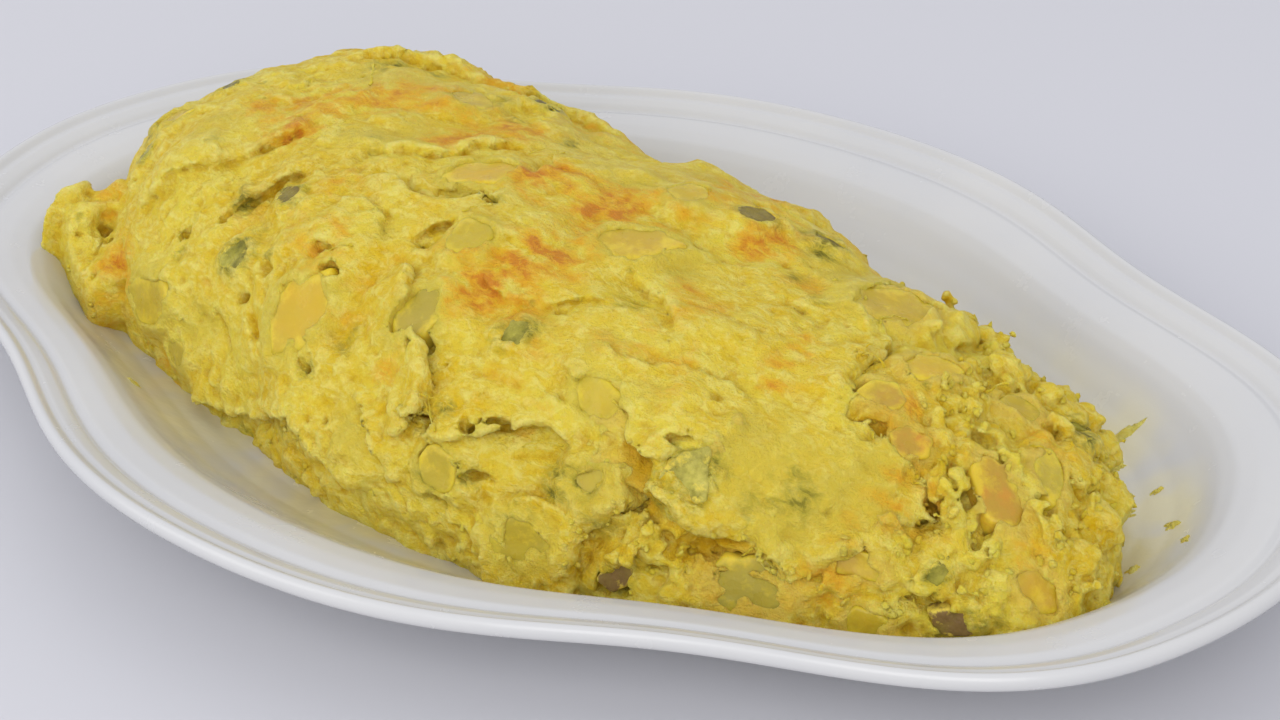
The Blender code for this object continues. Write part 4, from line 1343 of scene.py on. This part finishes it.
# %% Slices as rings
def slice_piece(name, row, thick, corners, seed, values):
    """One slice: rings from the middle of the top over the edge to the middle of the bottom."""
    x, angle, heading, length, width, _ = row
    outline, tilt = slice_outline(corners, seed)
    around = len(outline)
    outline = outline * (length / 2, width / 2)
    rows = (
        # share of the way out to the outline, level in thicknesses
        (0.02, 0.49), (0.2, 0.49), (0.38, 0.49), (0.55, 0.50), (0.70, 0.50), (0.82, 0.49), (0.90, 0.47),
        (0.95, 0.42), (0.985, 0.32), (1.0, 0.18), (1.01, 0.0), (1.0, -0.2), (0.96, -0.34), (0.86, -0.46),
        (0.5, -0.5), (0.02, -0.5),
    )
    local = np.array([
        [px * share, py * share, level * thick + 0.5 * (tilt[0] * px + tilt[1] * py) * share]
        for share, level in rows for px, py in outline
    ])
    here, length_way, width_way, out = surface_frame(x, angle, heading)
    shift = np.array([seed * 3.7, seed * 1.3, seed * 2.1])
    uneven = layered_noise((local + shift).astype(np.float32), 6.0, 900, 3)
    side = layered_noise((local * (1, 1, 0.3) + shift).astype(np.float32), 4.5, 901, 2)
    edge = np.hypot(local[:, 0] / length, local[:, 1] / width)
    local[:, :2] *= (1 + 0.14 * side * np.minimum(edge * 2.2, 1))[:, None]
    local[:, 2] += 0.40 * uneven
    middle = here - out * (thick / 2 - PROUD)
    points = middle + local[:, :1] * length_way + local[:, 1:2] * width_way + local[:, 2:] * out
    starts = range(0, (len(rows) - 1) * around, around)
    faces = [
        (first + k, first + around + k, first + around + (k + 1) % around, first + (k + 1) % around)
        for first in starts for k in range(around)
    ]
    faces += [tuple(range(around)), tuple(reversed(range(len(points) - around, len(points))))]
    along = local[:, 0] / length
    shares = {key: value + slope * along + 0.5 * value * uneven for key, (value, slope) in values.items()}
    shares["rim"] = np.repeat([share if level > 0 else 1.0 for share, level in rows], around)
    return mesh_object(name, points * MM, faces, shares)


# The shares of colour of the slices that differ from the usual one, by their numbers.
POTATO_TINTS = {
    # number: (gold, slope), (tan, slope), (green, slope)
    1: ((0.7, 0.5), (0.1, 0), (0, 0)), 2: ((0.85, 0.2), (0.1, 0.2), (0, 0)),
    3: ((0.0, 0), (0, 0), (0.05, 0)), 4: ((0.2, 0), (0.1, 0), (0.6, 0)),
    5: ((0.5, 0.3), (0.25, 0.4), (0, 0)), 6: ((0.1, 0), (0, 0), (0, 0)),
    7: ((0.1, 0), (0.1, 0), (0.35, 0)), 8: ((0.0, 0), (0.1, 0), (0.15, 0)),
    9: ((0.0, 0), (0.0, 0), (0.3, 0.2)), 10: ((0.2, 0), (0.0, 0), (0.8, 0)),
    11: ((0.2, 0), (0.0, 0), (0.1, 0)), 12: ((0.6, 0), (0.4, -1.0), (0, 0)),
    13: ((0.4, 0), (0.9, 0.2), (0, 0)), 14: ((0.1, 0), (0.0, 0), (0.3, 0)),
    15: ((0.9, 0), (0.0, 0), (0, 0)), 16: ((0.3, 0), (0.15, 0), (0.05, 0)),
    17: ((0.2, 0), (0.6, 0.3), (0, 0)), 18: ((0.2, 0), (0.9, 0.4), (0, 0)),
    19: ((0.2, 0), (0.1, 0), (0.1, 0)), 20: ((0.9, 0), (0.35, 0), (0, 0)),
    21: ((0.2, 0), (0.0, 0), (0.2, 0)), 22: ((0.2, 0), (0.0, 0), (0.4, 0)),
    23: ((0.3, 0), (0.2, 0.2), (0, 0)),
}
PEPPER_TAN = {11: 1.0, 12: 0.9, 2: 0.5, 5: 0.6, 6: 0.5, 7: 0.4, 8: 0.3}
PEPPER_FADED = {4: 1.0, 3: 0.5, 1: 0.4, 9: 0.5, 10: 0.2}


def potato_material():
    """Waxy yellow potato, tan or green in places, with a film of egg."""
    material, tree, shader = new_material("boiled potato", {
        "Specular IOR Level": 0.28, "Subsurface Weight": 0.6, "Subsurface Radius": (1.0, 0.72, 0.25),
        "Subsurface Scale": 0.004,
    })
    wander = between(tree, noise_of(tree, 90, 3), 0.35, 0.65)
    colour = mixed_colour(tree, wander, (0.47, 0.345, 0.016), (0.55, 0.425, 0.036))
    colour = tinted(tree, colour, value_of(tree, "gold"), 0.0, 1.0, 0.9, (0.60, 0.385, 0.010))
    colour = tinted(tree, colour, value_of(tree, "green"), 0.0, 1.0, 0.9, (0.33, 0.285, 0.054))
    uneven = between(tree, noise_of(tree, 260, 4, 0.6), 0.35, 0.6, 0.7, 1.2)
    tan = math_node(tree, "MULTIPLY", value_of(tree, "tan"), uneven)
    colour = tinted(tree, colour, tan, 0.05, 0.8, 0.85, (0.47, 0.280, 0.036))
    colour = tinted(tree, colour, tan, 0.85, 1.4, 0.7, (0.62, 0.24, 0.03))
    rim = between(tree, value_of(tree, "rim"), 0.5, 0.95, -0.08, 0.14)
    film = math_node(tree, "ADD", noise_of(tree, 170, 5, 0.7), rim)
    colour = tinted(tree, colour, film, 0.46, 0.66, 0.75, (0.72, 0.545, 0.036))
    join(tree, colour, shader.inputs["Base Color"])
    join(tree, between(tree, noise_of(tree, 200, 3), 0.35, 0.65, 0.24, 0.46), shader.inputs["Roughness"])
    bumpy(tree, shader, noise_of(tree, 600, 4, 0.6), 0.35, 0.0006)
    return material


def pepper_material():
    """Dull olive pepper, faded or tan in places, with a film of egg."""
    material, tree, shader = new_material("green pepper", {
        "Specular IOR Level": 0.13, "Subsurface Weight": 0.2, "Subsurface Radius": (0.7, 1.0, 0.3),
        "Subsurface Scale": 0.002,
    })
    wander = between(tree, noise_of(tree, 240, 4, 0.65), 0.36, 0.64)
    colour = mixed_colour(tree, wander, (0.10, 0.096, 0.006), (0.28, 0.250, 0.018))
    pale = mixed_colour(tree, wander, (0.25, 0.225, 0.030), (0.58, 0.515, 0.11))
    colour = tinted(tree, colour, value_of(tree, "faded"), 0.0, 1.0, 1.0, pale)
    colour = tinted(tree, colour, value_of(tree, "tan"), 0.1, 1.0, 0.85, (0.20, 0.115, 0.050))
    rim = between(tree, value_of(tree, "rim"), 0.45, 1.0, -0.08, 0.10)
    film = math_node(tree, "ADD", noise_of(tree, 260, 5, 0.7), rim)
    colour = tinted(tree, colour, film, 0.52, 0.64, 0.85, (0.76, 0.60, 0.08))
    join(tree, colour, shader.inputs["Base Color"])
    join(tree, between(tree, noise_of(tree, 300, 3), 0.35, 0.65, 0.22, 0.48), shader.inputs["Roughness"])
    bumpy(tree, shader, noise_of(tree, 420, 4, 0.6), 0.7, 0.0009)
    return material


potato, pepper = potato_material(), pepper_material()
for k, row in enumerate(POTATOES, 1):
    gold, tan, green = POTATO_TINTS.get(k, ((0.3, 0.2), (0.1, 0), (0.05, 0)))
    shares = {"gold": gold, "tan": tan, "green": green}
    piece = slice_piece(f"potato_slice_{k:02d}", row, POTATO_THICK, 6, 31 * (k - 1) + 12, shares)
    piece.data.materials.append(potato)
    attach(piece, "root")
    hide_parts(f"potato_{k:02d}")
for k, row in enumerate(PEPPERS, 1):
    shares = {"tan": (PEPPER_TAN.get(k, 0.15), 0.2), "faded": (PEPPER_FADED.get(k, 0.1), 0.0)}
    piece = slice_piece(f"pepper_square_{k:02d}", row, PEPPER_THICK, 5, 31 * (k - 1) + 11, shares)
    piece.data.materials.append(pepper)
    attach(piece, "root")
    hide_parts(f"pepper_{k:02d}")
print("slice faces:", len(piece.data.polygons))

# %% [markdown]
# ## Crumbs of curd
# Torn egg sheds small crumbs. They sit thickly on the torn end and thinly along the low front edge.
# Their number and size follow one rule, so a node tree scatters them: each face of the egg gives
# points by its share "crumbly", and each point a small rounded lump, turned and sized at random.

# %% The crumbs' node tree
def crumb_tree():
    """Scatters small uneven balls over a piece, as thick as its share "crumbly" says."""
    tree, given = new_tree("crumbs", {
        "Geometry": "Geometry", "Amount": "Float", "Crumb size": "Float", "Seed": "Int", "Egg": "Material",
    })
    share = add_node(tree, "GeometryNodeInputNamedAttribute", {"Name": "crumbly"}, data_type="FLOAT")
    density = math_node(tree, "MULTIPLY", share.outputs["Attribute"], given["Amount"])
    scatter = add_node(tree, "GeometryNodeDistributePointsOnFaces", {
        "Mesh": given["Geometry"], "Density": density, "Seed": given["Seed"],
    })
    ball = add_node(tree, "GeometryNodeMeshUVSphere", {
        "Segments": 7, "Rings": 5, "Radius": given["Crumb size"],
    })
    turn = add_node(tree, "FunctionNodeRandomValue", {"Max": (6.28, 6.28, 6.28)}, data_type="FLOAT_VECTOR")
    size = add_node(tree, "FunctionNodeRandomValue", {
        "Min": (0.5, 0.4, 0.4), "Max": (1.7, 1.2, 1.1),
    }, data_type="FLOAT_VECTOR")
    place = add_node(tree, "GeometryNodeInstanceOnPoints", {
        "Points": scatter.outputs["Points"], "Instance": ball.outputs["Mesh"],
        "Rotation": turn.outputs["Value"], "Scale": size.outputs["Value"],
    })
    dents = add_node(tree, "ShaderNodeTexNoise", {"Scale": 700.0, "Detail": 2.0}).outputs["Color"]
    centred = add_node(tree, "ShaderNodeVectorMath", {0: dents, 1: (0.5, 0.5, 0.5)}, operation="SUBTRACT")
    depth = math_node(tree, "MULTIPLY", given["Crumb size"], 1.9)
    pushed = {0: centred.outputs["Vector"], "Scale": depth}
    sized = add_node(tree, "ShaderNodeVectorMath", pushed, operation="SCALE")
    return chain(tree, place.outputs["Instances"], (
        ("GeometryNodeRealizeInstances", {}),
        ("GeometryNodeSetPosition", {"Offset": sized.outputs["Vector"]}),
        ("GeometryNodeSetShadeSmooth", {}),
        ("GeometryNodeSetMaterial", {"Material": given["Egg"]}),
    ))


def scatter_crumbs(name, base, share, amount, size, seed):
    """Crumbs over a copy of a piece, as thick as the share says at each vertex."""
    mesh = base.data.copy()
    vertex_values(mesh, {"crumbly": share})
    made = nodes_object(name, mesh, CRUMBS, {"Amount": amount, "Crumb size": size, "Seed": seed, "Egg": egg})
    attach(made, "root")
    print(name, "faces:", len(made.data.polygons))


def vertex_points(obj):
    """The places of a piece's vertices, in mm."""
    values = np.empty(len(obj.data.vertices) * 3, np.float32)
    obj.data.vertices.foreach_get("co", values)
    return values.reshape(-1, 3) / np.float32(MM)


def angle_of(points):
    """The angle round the loaf of points given in mm."""
    middle, half, height = section_at(points[:, 0])
    p = (np.abs(points[:, 1] - middle) / half) ** (ROUNDNESS / 2)
    q = (np.maximum(points[:, 2] - WELL_FLOOR, 0) / height) ** (ROUNDNESS / 2)
    return np.degrees(np.arctan2(q, -p * np.sign(points[:, 1] - middle)))


def above_glaze(points):
    """1 for points that stand clear of the glaze, 0 for those at it or under it."""
    return soft_step(points[:, 2] - well_height(points[:, 0], points[:, 1]), 0.3, 1.3)


CRUMBS = crumb_tree()
spots = vertex_points(egg_filling)
clear = 1 - np.maximum(slice_cover(spots, POTATOES), slice_cover(spots, PEPPERS))
share = soft_step(beyond_edge(spots, angle_of(spots), 0.0), 0, 3) * clear * above_glaze(spots)
share *= soft_step(smooth_noise(spots, 9, 811), -0.25, 0.35)
scatter_crumbs("crumbs_end", egg_filling, share, 90000.0, 0.9 * MM, 3)
spots = vertex_points(egg_skin)
turn = angle_of(spots)
lip = np.exp(-np.abs(beyond_edge(spots, turn, 1.0)) / 1.6) * above_glaze(spots)
low = soft_step(-turn, -26, -8) * above_glaze(spots) * soft_step(smooth_noise(spots, 10, 812), -0.1, 0.4)
scatter_crumbs("crumbs_edge", egg_skin, np.clip(lip + 0.35 * low, 0, 1), 60000.0, 0.8 * MM, 4)

# %% [markdown]
# ## Threads of egg
# Where a set sheet is pulled apart, thin threads stay stretched across the tear, and a few stand up
# from the top. Each is a fine tube along a slack line between two places on the loaf.

# %% Threads
THREADS = (
    # start (x, angle, height), end (x, angle, height), sag, radius
    ((10, 42, 2), (20, 33, 2), -1.0, 0.22), ((14, 36, 1), (22, 31, 2.5), 1.0, 0.16),
    ((24, 37, 2), (15, 36, 3), 0.6, 0.16), ((88, 86, 2), (94, 84, 3.4), 1.5, 0.22),
    ((87, 88, 2), (91, 90, 3.6), 1.2, 0.16), ((91, 73, 1), (98, 70, -1), -1.0, 0.26),
    ((92, 72, 0), (99, 74, -1), 0.8, 0.18), ((100, 68, 1), (106, 63, -2), -1.4, 0.24),
    ((96, 66, 1), (103, 62, -2), 0.9, 0.17), ((-73, 92, 1), (-76, 95, 4.2), 0.6, 0.35),
    ((-30, 52, 1), (-24, 56, 2), 0.9, 0.2), ((60, 44, 1), (68, 37, -1), -1.2, 0.24),
    ((66, 42, 0), (73, 38, 1), 0.9, 0.2), ((112, 60, 0), (118, 58, -1), 1.0, 0.2),
    ((118, 52, 1), (124, 50, 0), 0.8, 0.24), ((-7, 74, 2), (-2, 78, 2.4), 0.7, 0.2),
    ((-16, 95, 1), (-9, 99, 2), 1.0, 0.16), ((86, 20, 0), (90, 26, 1), -0.8, 0.22),
    ((104, 22, 0), (110, 30, 1), -1.0, 0.24), ((54, 50, 2), (60, 46, 0), 0.8, 0.18),
    ((40, 34, 1), (48, 37, 2), 0.9, 0.18), ((82, 100, 1), (86, 106, 0), 1.0, 0.22),
    ((124, 92, 1), (128, 90, 4), 0.8, 0.3), ((110, 96, 2), (112, 100, 5), 0.6, 0.3),
)


def tubes(name, lines):
    """One mesh of thin closed tubes; each line is its points and radii in mm."""
    verts, faces = [], []
    around = 6
    for points, radii in lines:
        first = len(verts)
        count = len(points)
        for k in range(count):
            way = points[min(k + 1, count - 1)] - points[max(k - 1, 0)]
            way = way / np.linalg.norm(way)
            side = np.cross(way, (0.3, 0.2, 0.93))
            side /= np.linalg.norm(side)
            other = np.cross(way, side)
            for n in range(around):
                turn = 2 * math.pi * n / around
                verts.append((points[k] + radii[k] * (math.cos(turn) * side + math.sin(turn) * other)) * MM)
        for k in range(count - 1):
            for n in range(around):
                a, b = first + k * around + n, first + k * around + (n + 1) % around
                faces.append((a, b, b + around, a + around))
        faces.append(tuple(reversed(range(first, first + around))))
        faces.append(tuple(range(len(verts) - around, len(verts))))
    return mesh_object(name, verts, faces)


def above_surface(x, angle, height):
    """A point at a height over a place of the loaf."""
    out = outward_at(np.array([float(x)]), np.array([float(angle)]))[0]
    return surface_point(x, angle)[0] + out * height


THREAD_POINTS = 12
lines = []
draw = random.Random(12)
for start, end, sag, radius in THREADS:
    share = np.linspace(0, 1, THREAD_POINTS)[:, None]
    line = above_surface(*start) * (1 - share) + above_surface(*end) * share
    line = line + np.array((0, 0, 1)) * sag * (4 * share * (1 - share))
    line += np.array([[draw.uniform(-0.25, 0.25) for _ in range(3)] for _ in range(THREAD_POINTS)])
    lines.append((line, radius * (0.6 + 0.9 * np.abs(2 * share[:, 0] - 1) ** 2)))
threads = tubes("egg_threads", lines)
threads.data.materials.append(egg)
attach(threads, "root")
print("threads:", len(lines))

# %% [markdown]
# ## Oil and crumbs in the well
# The omelette leaves a yellow film of oil round its foot, and at the torn end smears of egg and a few
# crumbs. The film is a share on the platter's vertices; its colour is lighter than the bare glaze,
# painted light that lifts the shade in the well. The smears are thin mesh patches that follow the well.

# %% The oily film
points = vertex_points(platter)
foot_x = np.arange(-138, 146, 2.0)
feet = np.vstack([surface_point(foot_x, np.full(len(foot_x), angle)) for angle in (0.0, 180.0)])
distance = np.full(len(points), 1e3)
for foot in feet:
    distance = np.minimum(distance, np.hypot(points[:, 0] - foot[0], points[:, 1] - foot[1]))
reach = 10 + 16 * soft_step(points[:, 0], 20, 130) + 6 * soft_step(-points[:, 1], 0, 60)
patchy = 0.75 + 1.1 * layered_noise(points, 26, 821) + 0.5 * smooth_noise(points, 7, 822)
film = np.exp(-np.maximum(distance - 3, 0) / reach) * patchy
upper_side = soft_step(points[:, 2] - well_height(points[:, 0], points[:, 1]), -1.5, -0.5)
film *= (1 - soft_step(points[:, 2], 13, 21)) * upper_side
vertex_values(platter.data, {"oil": np.clip(film, 0, 1)})


def glaze_nodes(tree, shader):
    """A cloudy white glaze with faint smears, yellow where it is oily and lighter there too, painted light
    over the shaded well.
    """
    cloud = between(tree, noise_of(tree, 18, 3), 0.35, 0.65)
    colour = mixed_colour(tree, cloud, (0.560, 0.562, 0.565), (0.590, 0.588, 0.580))
    oil = between(tree, value_of(tree, "oil"), 0.03, 0.75)
    # The oily glaze is yellow and lighter than the bare glaze: a real oil film, and painted light that lifts
    # the shade in the well.
    join(tree, mixed_colour(tree, oil, colour, (0.680, 0.638, 0.435)), shader.inputs["Base Color"])
    join(tree, between(tree, noise_of(tree, 90, 4, 0.6), 0.4, 0.7, 0.16, 0.30), shader.inputs["Roughness"])
    drops = math_node(tree, "MULTIPLY", oil, between(tree, noise_of(tree, 220, 3), 0.3, 0.7))
    bumpy(tree, shader, math_node(tree, "ADD", noise_of(tree, 45, 2), drops), 0.12, 0.0006)


glaze_nodes(glaze_tree, glaze_shader)
print("oily vertices:", int((film > 0.2).sum()))

# %% Smears and crumbs on the glaze
SMEARS = (
    # x, y, length, width, heading
    (115, 49, 8, 3.5, 50), (118, 40, 5, 3, 20), (129, 24, 6, 4, 50), (142, 20, 4, 2.5, -30),
    (149, 12, 4, 2, -40), (126, 31, 4, 3, 10), (132, 33, 3, 2, 70), (142, 4, 4, 3, -60),
    (-77, -71, 3, 2.4, 0), (36, -80, 4, 2, 10), (60, -80, 6, 2, 5), (-60, 72, 4, 3, 30),
    (30, 70, 6, 3, 0), (90, 56, 6, 3, -20),
)


def smear_mesh(name):
    """Thin patches that lie on the well, thickest in the middle, with frayed outlines."""
    verts, faces = [], []
    around, rings = 40, 7
    for number, (x, y, length, width, heading) in enumerate(SMEARS):
        first = len(verts)
        turn = np.linspace(0, 2 * math.pi, around, endpoint=False)
        ring = np.stack([np.cos(turn) * 3, np.sin(turn) * 3, np.full(around, number * 5.0)], 1)
        fray = 1 + 0.8 * layered_noise(ring.astype(np.float32), 2.4, 830, 2)
        c, s = math.cos(math.radians(heading)), math.sin(math.radians(heading))
        for r in range(rings + 1):
            share = (r + 0.02) / (rings + 0.02)
            px, py = np.cos(turn) * length / 2 * share * fray, np.sin(turn) * width / 2 * share * fray
            gx, gy = x + px * c - py * s, y + px * s + py * c
            bumps = np.stack([gx, gy, np.zeros(around)], 1)
            thick = (0.6 + 1.0 * np.clip(layered_noise(bumps, 2.4, 831, 2), -0.4, 1)) * (1 - share ** 3)
            verts += [tuple(v * MM for v in p) for p in zip(gx, gy, well_height(gx, gy) + thick - 0.12)]
        for r in range(rings):
            for k in range(around):
                a, b = first + r * around + k, first + r * around + (k + 1) % around
                faces.append((a, a + around, b + around, b))
        faces.append(tuple(first + k for k in range(around)))
        under = len(verts)
        verts += [(vx, vy, vz - 0.25 * MM) for vx, vy, vz in verts[-around:]]
        for k in range(around):
            a, b = first + rings * around + k, first + rings * around + (k + 1) % around
            faces.append((a, under + k, under + (k + 1) % around, b))
        faces.append(tuple(under + k for k in reversed(range(around))))
    # The smears count as raised, so the egg's material gives them its painted light, a paler cream.
    return mesh_object(name, verts, faces, {"proud": np.full(len(verts), 0.9)})


smears = smear_mesh("egg_smears")
smears.data.materials.append(egg)
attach(smears, "root")
print("smears:", len(SMEARS), "faces:", len(smears.data.polygons))
